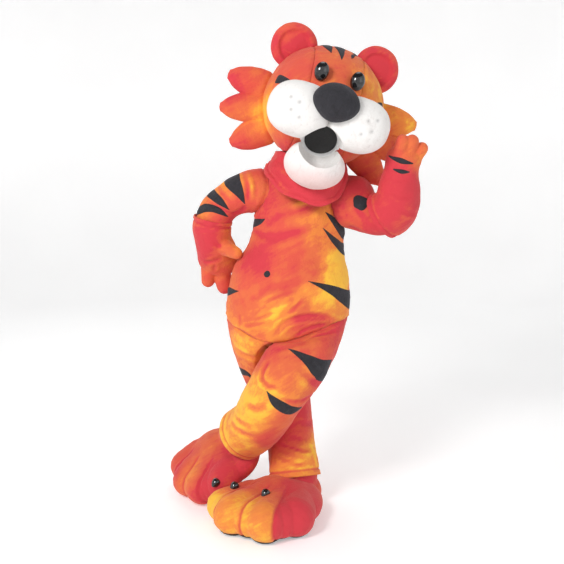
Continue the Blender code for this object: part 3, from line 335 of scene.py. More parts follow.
SLEEVE_RIGHT_FOLDS = folds_of([
    (8, -30, (-188, 3, 40), (-171, -74, -10), (-171, -75, -70)),
    (9, 40, (-205, 3, 36), (-190, -70, -12), (-188, -70, -80)),
    (9, 46, (-194, -56, -94), (-222, -37, -114), (-249, -35, -126)),
    (9, 30, (-300, 10, -12), (-282, -52, -50), (-245, -62, -82)),
    (8, 36, (-345, -20, -78), (-300, -56, -94), (-262, -46, -122)),
    (10, 40, (-200, 70, -20), (-230, 82, -60), (-262, 72, -100)),
    (9, 34, (-260, 80, -40), (-300, 82, -84), (-310, 70, -120)),
    (10, 30, (-170, 82, -30), (-176, 70, -80), (-200, 40, -120)),
])
SLEEVE_LEFT_FOLDS = folds_of([
    (12, 44, (192, -102, -53), (217, -124, -96), (252, -148, -131)),
    (10, 36, (270, -120, -75), (280, -135, -110), (300, -150, -150)),
    (11, 32, (160, -70, -125), (200, -90, -160), (250, -105, -185)),
    (10, 40, (180, 60, -60), (230, 20, -90), (280, -30, -110)),
    (10, 30, (200, 40, -120), (250, -20, -150), (300, -60, -170)),
])
LEG_LEFT_FOLDS = folds_of([
    (9, 70, (-100, -224, -655), (-122, -230, -681), (-132, -240, -713), (-113, -262, -736),
        (-69, -276, -744)),
    (10, -30, (-125, -245, -755), (-80, -274, -765), (-40, -275, -775)),
    (9, 42, (-62, -277, -781), (-10, -262, -800), (43, -215, -797), (62, -160, -780)),
    (13, 46, (-193, -204, -822), (-154, -247, -832), (-113, -262, -812)),
    (10, 34, (-255, -110, -925), (-215, -165, -945), (-165, -200, -952)),
    (9, 30, (-245, -130, -890), (-210, -180, -905), (-170, -215, -905)),
    (14, 46, (0, -259, -678), (53, -234, -730), (90, -190, -760)),
    (12, 40, (-85, -215, -615), (-40, -225, -596), (30, -210, -580)),
    (6, 44, (47, -178, -578), (85, -168, -569), (118, -152, -565), (163, -107, -558)),
    (12, 34, (60, -200, -620), (120, -150, -640), (160, -90, -630)),
    # Behind the knee and down the calf.
    (13, 60, (60, -100, -850), (-10, -60, -850), (-80, -60, -860)),
    (11, 44, (80, -90, -800), (20, -40, -800), (-60, -40, -800)),
    (12, 40, (-40, -110, -930), (-90, -50, -940), (-130, 0, -950)),
    (12, 36, (170, 10, -640), (130, 60, -690), (60, 40, -740)),
])
LEG_RIGHT_FOLDS = folds_of([
    (7, 60, (-60, -55, -1040), (-20, -62, -1050), (30, -58, -1064), (79, 6, -1075)),
    (6, 50, (-90, -60, -1082), (-40, -90, -1092), (20, -96, -1086), (70, -60, -1078)),
    (8, 36, (-70, -74, -1096), (-10, -90, -1106), (40, -76, -1116)),
    (10, 36, (-14, -28, -955), (46, -2, -971), (60, 40, -985)),
    (9, 30, (-30, -50, -1008), (29, -43, -1020), (66, -4, -1020)),
    (10, -30, (64, -30, -1040), (74, -30, -1090), (82, -50, -1140)),
    (10, 40, (-250, -50, -650), (-189, -100, -672), (-150, -110, -676)),
    (9, 30, (-230, -30, -720), (-190, -62, -735), (-160, -70, -735)),
    (14, 50, (-180, 150, -780), (-90, 190, -800), (-10, 170, -800)),
    (12, 40, (-190, 120, -830), (-110, 185, -850), (10, 150, -850)),
    (12, 36, (-120, 120, -1040), (-40, 146, -1050), (40, 120, -1046)),
    (11, 30, (-110, 60, -1110), (-60, 110, -1120), (20, 110, -1116)),
    (13, 34, (-230, 120, -640), (-160, 180, -680), (-90, 180, -690)),
])
GLOVE_RIGHT_FOLDS = folds_of([
    (7, 30, (-404, 0, -190), (-352, -56, -186), (-300, -50, -182), (-262, 0, -180)),
    (9, 34, (-326, -42, -225), (-297, -23, -250), (-257, 23, -256)),
    (9, 30, (-368, 20, -320), (-332, 6, -317), (-292, 4, -297)),
    (8, 26, (-330, 20, -372), (-325, 30, -350), (-322, 12, -325)),
    (10, 30, (-380, 100, -240), (-330, 110, -250), (-290, 90, -240)),
])
GLOVE_LEFT_FOLDS = folds_of([
    (10, 36, (331, -215, -25), (366, -227, -45), (410, -216, -39)),
    (10, 30, (328, -204, 25), (358, -224, 12), (401, -219, 18)),
    (9, 34, (360, -230, -90), (400, -215, -110), (440, -170, -100)),
    (10, 34, (440, -120, -50), (410, -80, -20), (360, -80, -10)),
])
BIB_FOLDS = folds_of([
    (12, 34, (150, -130, 60), (120, -160, 20), (70, -178, -40)),
    (10, 30, (-80, -127, 37), (-43, -170, 2), (-7, -186, -26)),
    (12, 30, (190, -70, 60), (170, -110, 20), (130, -150, -40)),
])

# ---------------------------------------------------------------- nap, with painted light and shade
# A patch leans the pile's colour from crimson, 0, through orange to yellow, 1: partly the nap's own colour,
# and partly painted shade where it is crimson and painted light where it is yellow.
NapAndLight = namedtuple("NapAndLight", "x y z warm")


def naps_and_light_of(*table):
    """Patches from rows of a place in millimetres and a warmth."""
    return [NapAndLight(x / MM, y / MM, z / MM, warm) for x, y, z, warm in table]


NAP_AND_LIGHT_REACH = 0.052
NAP_BASE = 0.34          # warmth where no patch reaches
NAP_AND_LIGHT = {
    "body": naps_and_light_of((-80, -101, -38, 0.12), (-133, -93, -189, 0.2), (10, -132, -96, 0.48),
        (70, -131, -130, 0.78), (-43, -146, -213, 0.28), (103, -123, -216, 0.55), (150, -99, -325, 1.0),
        (107, -129, -298, 0.75), (-133, -137, -305, 0.08), (-209, -108, -381, 0.45),
        (-28, -161, -294, 0.18), (40, -160, -310, 0.38), (-180, -130, -340, 0.12), (-60, -168, -360, 0.3),
        (9, -172, -397, 0.62), (92, -151, -439, 0.86), (163, -97, -495, 0.85), (-62, -174, -484, 0.88),
        (-133, -160, -437, 0.45), (-225, -105, -478, 0.5), (-242, -86, -544, 0.8), (17, -170, -519, 0.12),
        (93, -142, -548, 0.08), (-62, -170, -557, 0.72), (-179, -138, -556, 0.5), (-80, 150, -330, 0.7),
        (90, 130, -430, 0.62), (-120, 130, -480, 0.15), (60, 130, -140, 0.18), (-80, 120, -110, 0.55)),
    "sleeve_right": naps_and_light_of((-133, -55, 23, 0.1), (-156, -75, -70, 0.35), (-176, -76, -17, 0.95),
        (-240, -53, -102, 0.1), (-286, -46, -41, 0.9), (-320, -47, -83, 0.55), (-200, -66, -40, 0.3)),
    "glove_right": naps_and_light_of((-264, 1, -222, 0.85), (-285, 14, -302, 0.35), (-311, -42, -217, 0.05),
        (-352, -48, -194, 0.08), (-358, 4, -297, 0.05), (-319, 45, -362, 0.42), (-274, 83, -424, 0.18),
        (-345, 70, -414, 0.55), (-250, 20, -270, 0.85)),
    "red": naps_and_light_of((391, -225, 143, 0.34), (420, -205, 125, 0.55), (235, -135, -130, 0.2),
        (300, -150, -100, 0.02), (380, -220, -40, 0.02), (389, -203, -141, 0.06), (197, -86, -32, 0.03),
        (365, -225, 30, 0.03), (-58, -142, 37, 0.06), (50, -190, -40, 0.02), (150, -150, 20, 0.02),
        (400, -60, -60, 0.25), (272, -120, -70, 0.02), (205, -100, -140, 0.04), (285, -150, -165, 0.04)),
    "leg_left": naps_and_light_of((130, -161, -597, 0.08), (177, -82, -568, 0.06), (20, -203, -588, 0.35),
        (-65, -248, -653, 0.3), (-29, -271, -696, 0.46), (23, -259, -718, 0.75), (80, -220, -745, 0.15),
        (-102, -272, -775, 0.85), (-174, -227, -796, 0.95), (-155, -231, -888, 1.0),
        (-235, -131, -880, 0.95), (-80, -231, -903, 0.35), (-208, -141, -997, 0.98),
        (-110, -190, -960, 0.12), (-40, -220, -850, 0.35), (-60, -40, -860, 0.2), (60, 60, -700, 0.6),
        (-285, -58, -966, 0.96), (-264, -100, -998, 0.9), (-226, -118, -1034, 0.6)),
    "leg_right": naps_and_light_of((-196, -100, -643, 0.8), (-182, -67, -715, 0.6), (55, 35, -933, 0.05),
        (14, -34, -985, 0.03), (-30, -50, -1028, 0.12), (13, -76, -1078, 0.76), (70, -20, -1050, 0.9),
        (53, -81, -1134, 0.88), (-66, -82, -1117, 0.5), (60, 40, -860, 0.12), (-90, 180, -900, 0.65),
        (-160, 160, -700, 0.25)),
    "boot_left": naps_and_light_of((-337, 128, -1040, 0.45), (-376, 40, -1095, 0.5), (-473, 90, -1182, 0.36),
        (-425, -12, -1194, 0.64), (-282, -31, -1111, 0.08), (-325, -53, -1145, 0.36),
        (-365, -63, -1224, 0.1), (-410, -61, -1267, 0.5), (-246, -43, -1199, 0.15),
        (-223, -84, -1058, 0.02)),
    "boot_right": naps_and_light_of((-287, -212, -1227, 0.98), (-270, -306, -1241, 0.98), (-214, -291, -1170, 0.94),
        (-194, -332, -1238, 0.95), (-136, -135, -1162, 0.45), (-130, -388, -1205, 0.84),
        (-95, -329, -1173, 0.55), (-65, -368, -1221, 0.85), (11, -185, -1174, 0.03),
        (31, -306, -1202, 0.03), (-27, -99, -1160, 0.08), (-90, -75, -1161, 0.55), (90, -200, -1220, 0.03),
        (-246, -150, -1190, 0.3)),
    "head": naps_and_light_of((79, -145, 465, 0.4), (118, -223, 382, 0.5), (259, -154, 359, 0.75),
        (6, -180, 413, 0.32), (-60, -130, 420, 0.36), (-105, -80, 300, 0.9), (-100, -60, 250, 1.0),
        (-75, -80, 190, 0.7), (-40, -100, 120, 0.12), (-110, -60, 370, 0.4), (310, -90, 300, 0.9),
        (290, -80, 220, 0.7), (70, 0, 500, 0.35), (-60, 120, 360, 0.6), (200, 150, 300, 0.25)),
    "tuft": naps_and_light_of((-196, -34, 367, 0.18), (-223, -47, 257, 0.5), (-163, -49, 190, 0.4),
        (-150, -30, 345, 0.55), (-200, -40, 150, 0.2), (-190, -45, 200, 0.6), (337, 18, 311, 0.9),
        (391, 10, 258, 0.75), (-130, -45, 260, 0.95), (-240, -40, 330, 0.1)),
    "ear": naps_and_light_of((-32, -59, 516, 0.1), (278, -27, 411, 0.1)),
}


# ---------------------------------------------------------------- curves and forms
def spline(rows, share):
    """Rows of a table at shares of its length, on a smooth curve through them."""
    rows = np.asarray(rows, float)
    last = len(rows) - 1
    place = np.clip(np.asarray(share, float), 0.0, 1.0) * last
    i = np.minimum(place.astype(int), last - 1)
    f = (place - i)[..., None]
    a, b, c, d = rows[np.maximum(i - 1, 0)], rows[i], rows[i + 1], rows[np.minimum(i + 2, last)]
    return 0.5 * (2 * b + (c - a) * f + (2 * a - 5 * b + 4 * c - d) * f * f
                  + (3 * b - 3 * c + d - a) * f ** 3)


def bell(away, width):
    """1 where away is 0, falling smoothly to 0 over about two widths."""
    return np.exp(-(away / width) ** 2)


def step_up(values, soft):
    """From 0 to 1 where values pass 0, over a few times soft."""
    return 1.0 / (1.0 + np.exp(np.clip(-values / soft, -60.0, 60.0)))


def turns_of(count):
    """Angles of a whole turn in equal steps."""
    return 2.0 * math.pi * np.arange(count) / count


def unit(vectors):
    return vectors / np.maximum(np.linalg.norm(vectors, axis=-1, keepdims=True), 1e-12)


def level_at(rows, z):
    """The rows of a table of levels at some heights."""
    table = np.asarray(rows, float)
    heights = table[:, 0]
    i = np.clip(np.searchsorted(-heights, -z) - 1, 0, len(table) - 2)
    f = (heights[i] - z) / (heights[i] - heights[i + 1])
    return spline(table, (i + f) / (len(table) - 1))


def level_points(rows, degrees, z):
    row = level_at(rows, z)
    angle = np.radians(degrees)
    return np.stack([row[..., 1] + row[..., 3] * np.cos(angle),
                     row[..., 2] - row[..., 4] * np.sin(angle), z], axis=-1)


def placed(at):
    """The matrix of a placing: pitched toes down, turned about Z, then leaned clockwise."""
    return (Matrix.Translation((at.x, at.y, at.z))
            @ Matrix.Rotation(math.radians(at.roll), 4, "Y")
            @ Matrix.Rotation(math.radians(at.heading), 4, "Z")
            @ Matrix.Rotation(math.radians(at.pitch), 4, "X"))


def moved_to(matrix, points):
    m = np.array(matrix)
    return points @ m[:3, :3].T + m[:3, 3]


def torso_edge(degrees):
    """The height of the seam between the torso and the legs."""
    dip = 0.0
    for middle in (GROIN_FRONT, GROIN_BACK):
        away = np.radians((degrees - middle + 180.0) % 360.0 - 180.0)
        dip = dip + np.maximum(np.cos(away), 0.0) ** 3
    return HIP_LINE - GROIN_DROP * dip


def torso_grid(rows, across):
    around = np.linspace(0.0, 360.0 - 360.0 / across, across)
    degrees, share = np.meshgrid(around, np.linspace(0.0, 1.0, rows))
    top = TORSO[0].z
    return level_points(TORSO, degrees, top + (torso_edge(degrees) - top) * share)


class Tube:
    """A limb along a table of rings. Angle 0 is across it and 90 degrees is its front."""

    def __init__(self, rows, cells, relax=0):
        self.rows = np.asarray(rows, float)
        self.middles = spline(self.rows, np.arange(cells + 1) / cells)[:, :3]
        self.sizes = spline(self.rows, np.arange(cells + 1) / cells)[:, 3:].mean(1)
        near = np.arange(cells + 1)
        ahead, behind = np.minimum(near + 1, cells), np.maximum(near - 1, 0)
        ways = unit(self.middles[ahead] - self.middles[behind])
        for _ in range(relax):
            ways = unit(ways[behind] + ways + ways[ahead])
        self.ways = ways

    def points(self, share, degrees, grow=0.0):
        ring = spline(self.rows, share)
        way = unit(spline(self.ways, share))
        front = unit(FRONT + way * way[..., 1:2])
        across = np.cross(front, way)
        angle = np.radians(degrees)[..., None]
        return (ring[..., :3] + across * (ring[..., 3:4] + grow) * np.cos(angle)
                + front * (ring[..., 4:5] + grow) * np.sin(angle))

    def grid(self, rows, across, grow=0.0):
        degrees, share = np.meshgrid(np.arange(across) * 360.0 / across, np.linspace(0.0, 1.0, rows))
        return self.points(share, degrees, grow)

    def at_height(self, z):
        order = np.argsort(self.middles[:, 2])
        heights = self.middles[order, 2]
        middle = np.stack([np.interp(z, heights, self.middles[order, k]) for k in range(3)], -1)
        return middle, np.interp(z, heights, self.sizes[order])


def leg_top(side, place):
    """Points of a leg's first row: its half of the torso's edge, and then the crotch."""
    start, end = (GROIN_BACK - 360.0, GROIN_FRONT) if side > 0 else (GROIN_FRONT, GROIN_BACK)
    edge_cells = round((end - start) / CELL)
    degrees = start + CELL * np.minimum(place, edge_cells)
    edge = level_points(TORSO, degrees, torso_edge(degrees))
    share = np.clip((place - edge_cells) / CROTCH_CELLS, 0.0, 1.0)
    if side < 0:
        share = 1.0 - share
    ends = []
    for middle in (GROIN_FRONT, GROIN_BACK):
        degree = np.array([middle])
        ends.append(level_points(TORSO, degree, torso_edge(degree))[0])
    crotch = ends[0] + (ends[1] - ends[0]) * share[..., None]
    crotch[..., 2] -= CROTCH_DROP * np.sin(np.pi * share)
    points = np.where((place <= edge_cells)[..., None], edge, crotch)
    points[..., 2] -= GAP
    points[..., 0] += side * GAP / 2.0
    return points, edge_cells + CROTCH_CELLS


def leg_grid(own_rows, other_rows, side, rows, across):
    """A leg's points, kept behind the plane on which the crossing legs press together."""
    own, other = Tube(own_rows, LEG_CELLS, 1), Tube(other_rows, LEG_CELLS, 1)
    around = leg_top(side, np.zeros(1))[1]
    place, share = np.meshgrid(np.arange(across) * around / across, np.linspace(0.0, 1.0, rows))
    top = leg_top(side, place)[0]
    turn = -90.0 if side > 0 else 90.0
    round_points = own.points(share, turn + 360.0 * place / around)
    drop = spline(own.rows, share)[..., :3] - own.rows[0, :3]
    ease = np.minimum(share / LEG_ROUND_BY, 1.0)
    ease = (ease * ease * (3.0 - 2.0 * ease))[..., None]
    points = (top + drop) * (1.0 - ease) + round_points * ease
    own_middle, own_size = own.at_height(points[..., 2])
    other_middle, other_size = other.at_height(points[..., 2])
    way = other_middle - own_middle
    way[..., 2] = 0.0
    apart = np.linalg.norm(way, axis=-1)
    way = unit(way)
    limit = (apart + own_size - other_size) / 2.0 - PRESSED / 2.0
    over = ((points - own_middle) * way).sum(-1) - limit
    push = np.logaddexp(0.0, over / PRESS_SOFT) * PRESS_SOFT
    push *= np.minimum(share * rows / 3.0, 1.0)
    return points - way * push[..., None]


def skull_points(share, degrees, grow=0.0):
    """share runs from -1 at the head's right side to 1 at its left; 0 degrees is the back, level."""
    size = np.sqrt(np.maximum(1.0 - share * share, 0.0))
    angle = np.radians(degrees)
    return moved_to(HEAD, np.stack([(SKULL[0] + grow) * share,
                                    (SKULL[1] + grow) * size * np.cos(angle),
                                    (SKULL[2] + grow) * size * np.sin(angle)], axis=-1))


def skull_grid(start, end, rows, across, grow=0.0):
    shares = np.sin(np.linspace(math.asin(start), math.asin(end), rows))
    degrees, share = np.meshgrid(np.arange(across) * 360.0 / across, shares)
    return skull_points(share, degrees, grow)


BIB_EASE = 12.0          # degrees over which the bib's hem is evened out


def bib_grid(rows, across):
    degrees, share = np.meshgrid(np.arange(across) * 360.0 / across, np.linspace(0.0, 1.0, rows))
    hem = np.zeros_like(degrees)
    for near, far in zip(BIB_HEM, BIB_HEM[1:]):
        part = (degrees - near.degrees) / (far.degrees - near.degrees)
        ease = part * part * (3.0 - 2.0 * part)
        inside = (part >= 0.0) & (part < 1.0)
        hem = np.where(inside, near.z + (far.z - near.z) * ease, hem)
    reach = int(across * BIB_EASE / 360.0)
    hem = sum(np.roll(hem, k, axis=1) for k in range(-reach, reach + 1)) / (2 * reach + 1)
    return level_points(BIB, degrees, BIB_TOP + (hem - BIB_TOP) * share)


HEAD = placed(HEAD_AT)


# ---------------------------------------------------------------- closed shapes, as points and faces
def cells_of(rows, across, wrap=True):
    i = np.arange(rows - 1)[:, None]
    j = np.arange(across if wrap else across - 1)[None, :]
    ahead = (j + 1) % across
    corners = [i * across + j, i * across + ahead, (i + 1) * across + ahead, (i + 1) * across + j]
    return np.stack(corners, -1).reshape(-1, 4)


def grid_normals(grid):
    rows, across = grid.shape[:2]
    points = grid.reshape(-1, 3)
    cells = cells_of(rows, across)
    a, b, c, d = (points[cells[:, k]] for k in range(4))
    faces = np.cross(c - a, d - b)
    sums = np.zeros_like(points)
    for k in range(4):
        np.add.at(sums, cells[:, k], faces)
    return unit(sums).reshape(grid.shape)


def pod(grid, ends=None):
    """A closed body whose ends are fans round the given points, or round each end row's middle."""
    rows, across = grid.shape[:2]
    if ends is None:
        ends = (grid[0].mean(0), grid[-1].mean(0))
    points = np.concatenate([grid.reshape(-1, 3), np.array(ends, float)])
    first, last_row = rows * across, (rows - 1) * across
    faces = cells_of(rows, across).tolist()
    for j in range(across):
        ahead = (j + 1) % across
        faces.append([ahead, j, first])
        faces.append([last_row + j, last_row + ahead, first + 1])
    return points, faces


def ellipsoid(row, step=PAD_STEP, matrix=Matrix(), grow=0.0, square=2.0):
    """A blob's pod. square over 2 fills its corners, as a boxy cushion does."""
    half = np.array([row.wide, row.long, row.tall]) + grow
    rows = max(8, round(math.pi * half.max() / step))
    across = 2 * rows
    bend = np.radians(-90.0 + 180.0 * np.arange(1, rows) / rows)[:, None]
    angle = -turns_of(across)[None, :]

    def soft(value):
        return np.sign(value) * np.abs(value) ** (2.0 / square)

    shape = np.stack([soft(np.cos(bend)) * soft(np.cos(angle)), -soft(np.cos(bend)) * soft(np.sin(angle)),
                      soft(np.sin(bend)) * np.ones_like(angle)], -1)
    middle = np.array([row.x, row.y, row.z])
    pole = np.array([0.0, 0.0, half[2]])
    ends = [moved_to(matrix, middle - pole), moved_to(matrix, middle + pole)]
    return pod(moved_to(matrix, middle + shape * half), ends)


def lobe(row, matrix=Matrix(), grow=0.0):
    """A round-ended bar from one point to another."""
    start, end = np.array([row.x0, row.y0, row.z0]), np.array([row.x1, row.y1, row.z1])
    way = unit(end - start)
    front = UP if abs(FRONT @ way) > 0.9 else FRONT
    front = unit(front - way * (front @ way))
    across = np.cross(front, way)
    count = max(10, round(2.0 * math.pi * row.root / PAD_STEP))
    turns = turns_of(count)
    round_it = across * np.cos(turns)[:, None] + front * np.sin(turns)[:, None]
    rings = []
    for middle, radius, bends in ((start, row.root, (-80, -60, -40, -20, 0)),
                                  (end, row.tip, (0, 20, 40, 60, 80))):
        for bend in np.radians(bends):
            size = radius + grow
            rings.append(middle + way * size * math.sin(bend) + round_it * size * math.cos(bend))
    ends = (start - way * (row.root + grow), end + way * (row.tip + grow))
    return pod(moved_to(matrix, np.array(rings)), moved_to(matrix, np.array(ends)))


def wall(outer, inner, wrap=True, tip=False):
    """A wall between two grids, and how many of its faces are outside. tip closes the last row."""
    rows, across = outer.shape[:2]
    if tip:
        rows -= 1
    body = cells_of(rows, across, wrap)
    per_side = rows * across
    points = np.concatenate([outer[:rows].reshape(-1, 3), inner[:rows].reshape(-1, 3)])
    faces = body.tolist()
    outside = len(faces)
    faces += (body[:, ::-1] + per_side).tolist()
    last = (rows - 1) * across
    for j in range(across if wrap else across - 1):
        ahead = (j + 1) % across
        faces.append([ahead, j, per_side + j, per_side + ahead])
        if tip:
            pole = 2 * per_side
            faces.append([last + j, last + ahead, pole])
            faces.append([per_side + last + ahead, per_side + last + j, pole + 1])
        else:
            faces.append([last + j, last + ahead, per_side + last + ahead, per_side + last + j])
    if tip:
        points = np.concatenate([points, [outer[-1].mean(0)], [inner[-1].mean(0)]])
    if not wrap:
        for i in range(rows - 1):
            a, b = i * across, (i + 1) * across
            faces.append([a, b, per_side + b, per_side + a])
            a, b = a + across - 1, b + across - 1
            faces.append([b, a, per_side + a, per_side + b])
    return points, faces, outside


# ---------------------------------------------------------------- objects
def make(name, points, faces, finishes=(), inside_from=None):
    """An object of points and faces. Faces after inside_from take the second finish, up to its rims."""
    mesh = bpy.data.meshes.new(name)
    mesh.from_pydata(np.asarray(points).tolist(), [], [list(face) for face in faces])
    mesh.update()
    piece = bpy.data.objects.new(name, mesh)
    bpy.context.scene.collection.objects.link(piece)
    for finish in finishes:
        mesh.materials.append(finish)
    if inside_from is not None and len(finishes) > 1:
        marks = np.zeros(len(mesh.polygons), np.int32)
        marks[inside_from:2 * inside_from] = 1
        mesh.polygons.foreach_set("material_index", marks)
    mesh.shade_smooth()
    return piece


def cutter(shape):
    piece = make("cutter", *shape[:2])
    piece.hide_render = True
    return piece


def bake(piece):
    """Applies a piece's modifiers, and removes the cutters that they name."""
    helpers = [change.object for change in piece.modifiers if change.type == "BOOLEAN"]
    graph = bpy.context.evaluated_depsgraph_get()
    mesh = bpy.data.meshes.new_from_object(piece.evaluated_get(graph))
    old = piece.data
    piece.modifiers.clear()
    piece.data = mesh
    bpy.data.meshes.remove(old)
    for helper in helpers:
        bpy.data.objects.remove(helper, do_unlink=True)
    mesh.shade_smooth()
    return piece


def cut(piece, shapes, operation="DIFFERENCE"):
    """Cuts a piece by closed shapes, or keeps what lies inside them."""
    for shape in shapes:
        change = piece.modifiers.new("cut", "BOOLEAN")
        change.operation = operation
        change.solver = "MANIFOLD"
        change.object = cutter(shape)
    return bake(piece)


def fused(name, shapes, voxel, smooth, finishes=()):
    """One closed skin round some shapes, with soft valleys where they meet."""
    points, faces = [], []
    for shape in shapes:
        start = sum(len(part) for part in points)
        points.append(shape[0])
        faces += [[start + k for k in face] for face in shape[1]]
    piece = make(name, np.concatenate(points), faces, finishes)
    skin = piece.modifiers.new("skin", "REMESH")
    skin.mode = "VOXEL"
    skin.voxel_size = voxel
    soft = piece.modifiers.new("soft", "SMOOTH")
    soft.factor = 0.5
    soft.iterations = smooth
    return bake(piece)


def open_at(piece, place, way):
    """Removes what lies beyond a plane, and leaves an edge there."""
    bm = bmesh.new()
    bm.from_mesh(piece.data)
    bmesh.ops.bisect_plane(bm, geom=bm.verts[:] + bm.edges[:] + bm.faces[:], plane_co=place,
                           plane_no=way, clear_outer=True, dist=1e-6)
    bm.to_mesh(piece.data)
    bm.free()


def thicken(piece, thickness):
    change = piece.modifiers.new("thick", "SOLIDIFY")
    change.thickness = thickness
    change.offset = -1.0
    change.use_even_offset = False
    return bake(piece)


def trios(entries, key):
    flat = np.zeros(3 * len(entries), np.float32)
    entries.foreach_get(key, flat)
    return flat.reshape(-1, 3).astype(float)


def points_of(piece):
    return trios(piece.data.vertices, "co")


def normals_of(piece):
    return trios(piece.data.vertex_normals, "vector")


def set_points(piece, points):
    piece.data.vertices.foreach_set("co", points.astype(np.float32).ravel())
    piece.data.update()


def attribute(piece, name, values):
    layer = piece.data.attributes.new(name, "FLOAT", "POINT")
    layer.data.foreach_set("value", values.astype(np.float32))


def tree_of(shape):
    points, faces = shape[:2]
    return BVHTree.FromPolygons(np.asarray(points).tolist(), [list(face) for face in faces])


def surface_of(piece):
    return BVHTree.FromObject(piece, bpy.context.evaluated_depsgraph_get())


# ---------------------------------------------------------------- relief, nap, and painted light and shade
WAVES = 7                # that add up to an uneven swell
SEAM_FELT = 0.06         # how far away from a surface its seam is worked out


def undulate(points, period, seed):
    """A smooth, uneven swell of about -1 to 1, with bumps about a period apart."""
    rng = np.random.default_rng(seed)
    ways = unit(rng.normal(size=(WAVES, 3)))
    lengths = period * rng.uniform(0.7, 1.5, WAVES)
    shifts = rng.uniform(0.0, 2.0 * math.pi, WAVES)
    total = 0.0
    for way, length, shift in zip(ways, lengths, shifts):
        total = total + np.sin(points @ way * 2.0 * math.pi / length + shift)
    return total / math.sqrt(WAVES)


def along_line(points, line):
    """Each point's distance to a line of points, and its place along it from 0 to 1."""
    starts, ways = line[:-1], line[1:] - line[:-1]
    lengths = (ways * ways).sum(1)
    share = ((points[:, None] - starts) * ways).sum(-1) / lengths
    share = np.clip(share, 0.0, 1.0)
    away = np.linalg.norm(points[:, None] - starts - share[..., None] * ways, axis=-1)
    best = away.argmin(1)
    pick = np.arange(len(points))
    return away[pick, best], (best + share[pick, best]) / len(starts)


FOLD_STATIONS = 22       # places along a fold's line
FOLD_REACH = 3.2         # how many widths away from its line a fold is felt
FOLD_BLUNT = 0.7         # how soon a fold reaches its depth from its ends; lower is sooner
RIDGE_AT = 1.9           # widths from a fold's line to the ridges beside it
RIDGE_WIDE = 0.9
LIT_AT = 2.0             # widths from a fold's line to where the pile catches light
PUCKER_DEPTH = 0.0011
PUCKER_PERIOD = 0.021    # from one gather to the next
PUCKER_REACH = 0.020     # how far the gathers run out from a seam


def fold_field(points, folds, height):
    """Sums height(distance in widths, share along, fold) over the folds near each point."""
    total = np.zeros(len(points))
    for fold in folds:
        line = spline(fold.points, np.linspace(0.0, 1.0, FOLD_STATIONS))
        reach = FOLD_REACH * fold.width
        near = ((points > line.min(0) - reach) & (points < line.max(0) + reach)).all(1)
        if near.any():
            away, share = along_line(points[near], line)
            total[near] += height(away / fold.width, share, fold)
    return total


def fold_height(away, share, fold):
    """A trough with a softer ridge on both sides that fades at the fold's ends."""
    fade = np.sin(np.pi * np.clip(share, 0.0, 1.0)) ** FOLD_BLUNT
    return fold.depth * fade * (0.5 * bell(away - RIDGE_AT, RIDGE_WIDE) - np.exp(-away ** 2))


def fold_shade_and_highlight(away, share, fold):
    """Painted shade in a fold's trough, where the pile is painted redder, and a painted highlight on the
    ridges beside it.
    """
    fade = np.sin(np.pi * np.clip(share, 0.0, 1.0)) ** FOLD_BLUNT
    strength = np.sign(fold.depth) * min(abs(fold.depth) / 0.005, 1.3)
    lit, red = bell(away - LIT_AT, RIDGE_WIDE), bell(away, RIDGE_WIDE)
    return strength * fade * (0.16 * lit - 0.40 * red)


def swell(points, seed):
    """The uneven fullness of stuffed cloth, in metres: slow swells with quicker ones over them."""
    return 0.0016 * undulate(points, 0.110, seed) + 0.0007 * undulate(points, 0.042, seed + 1)


def distance_to(points, tree):
    """How far points lie from a surface, up to SEAM_FELT."""
    far = np.full(len(points), SEAM_FELT)
    for k, point in enumerate(points.tolist()):
        found = tree.find_nearest(point, SEAM_FELT)
        if found[0] is not None:
            far[k] = found[3]
    return far


def seam(away, depth=0.0034, width=0.0055):
    """The valley at a seam, with the stuffed rise that stands beside it."""
    rise = 0.35 * depth * bell(away - 2.4 * width, 1.2 * width)
    return rise - depth * bell(away, width)


def puckers(points, away, seed):
    """Short gathers that run out from a seam, uneven in place and size."""
    return PUCKER_DEPTH * undulate(points, PUCKER_PERIOD, seed) * bell(away, PUCKER_REACH)


def relieved(grid, folds, seed, extra):
    """A panel's grid with its folds and swell, and the directions in which it faces."""
    normals = grid_normals(grid)
    points = grid.reshape(-1, 3)
    height = fold_field(points, folds, fold_height) + swell(points, seed) + extra(points)
    shaped = (points + normals.reshape(-1, 3) * height[:, None]).reshape(grid.shape)
    return shaped, grid_normals(shaped)


NAP_EASE = 0.03          # how soon warmth falls back to the base away from the patches


def paint(piece, naps_and_light, folds=(), base=NAP_BASE, shift=None):
    """Gives a piece its warmth, from crimson at 0 to yellow at 1: the pile's colour, with painted shade and
    painted light from its patches and folds, and from shift where that paints them.
    """
    points = points_of(piece)
    total, weights = np.full(len(points), base * NAP_EASE), np.full(len(points), NAP_EASE)
    for nap in naps_and_light:
        away = np.linalg.norm(points - np.array([nap.x, nap.y, nap.z]), axis=1)
        weight = bell(away, NAP_AND_LIGHT_REACH)
        total += weight * nap.warm
        weights += weight
    warm = total / weights
    warm += 0.08 * undulate(points, 0.150, 31) + 0.05 * undulate(points, 0.055, 32)
    warm += fold_field(points, folds, fold_shade_and_highlight)
    if shift is not None:
        warm += shift(points)
    attribute(piece, "warm", np.clip(warm, 0.0, 1.0))


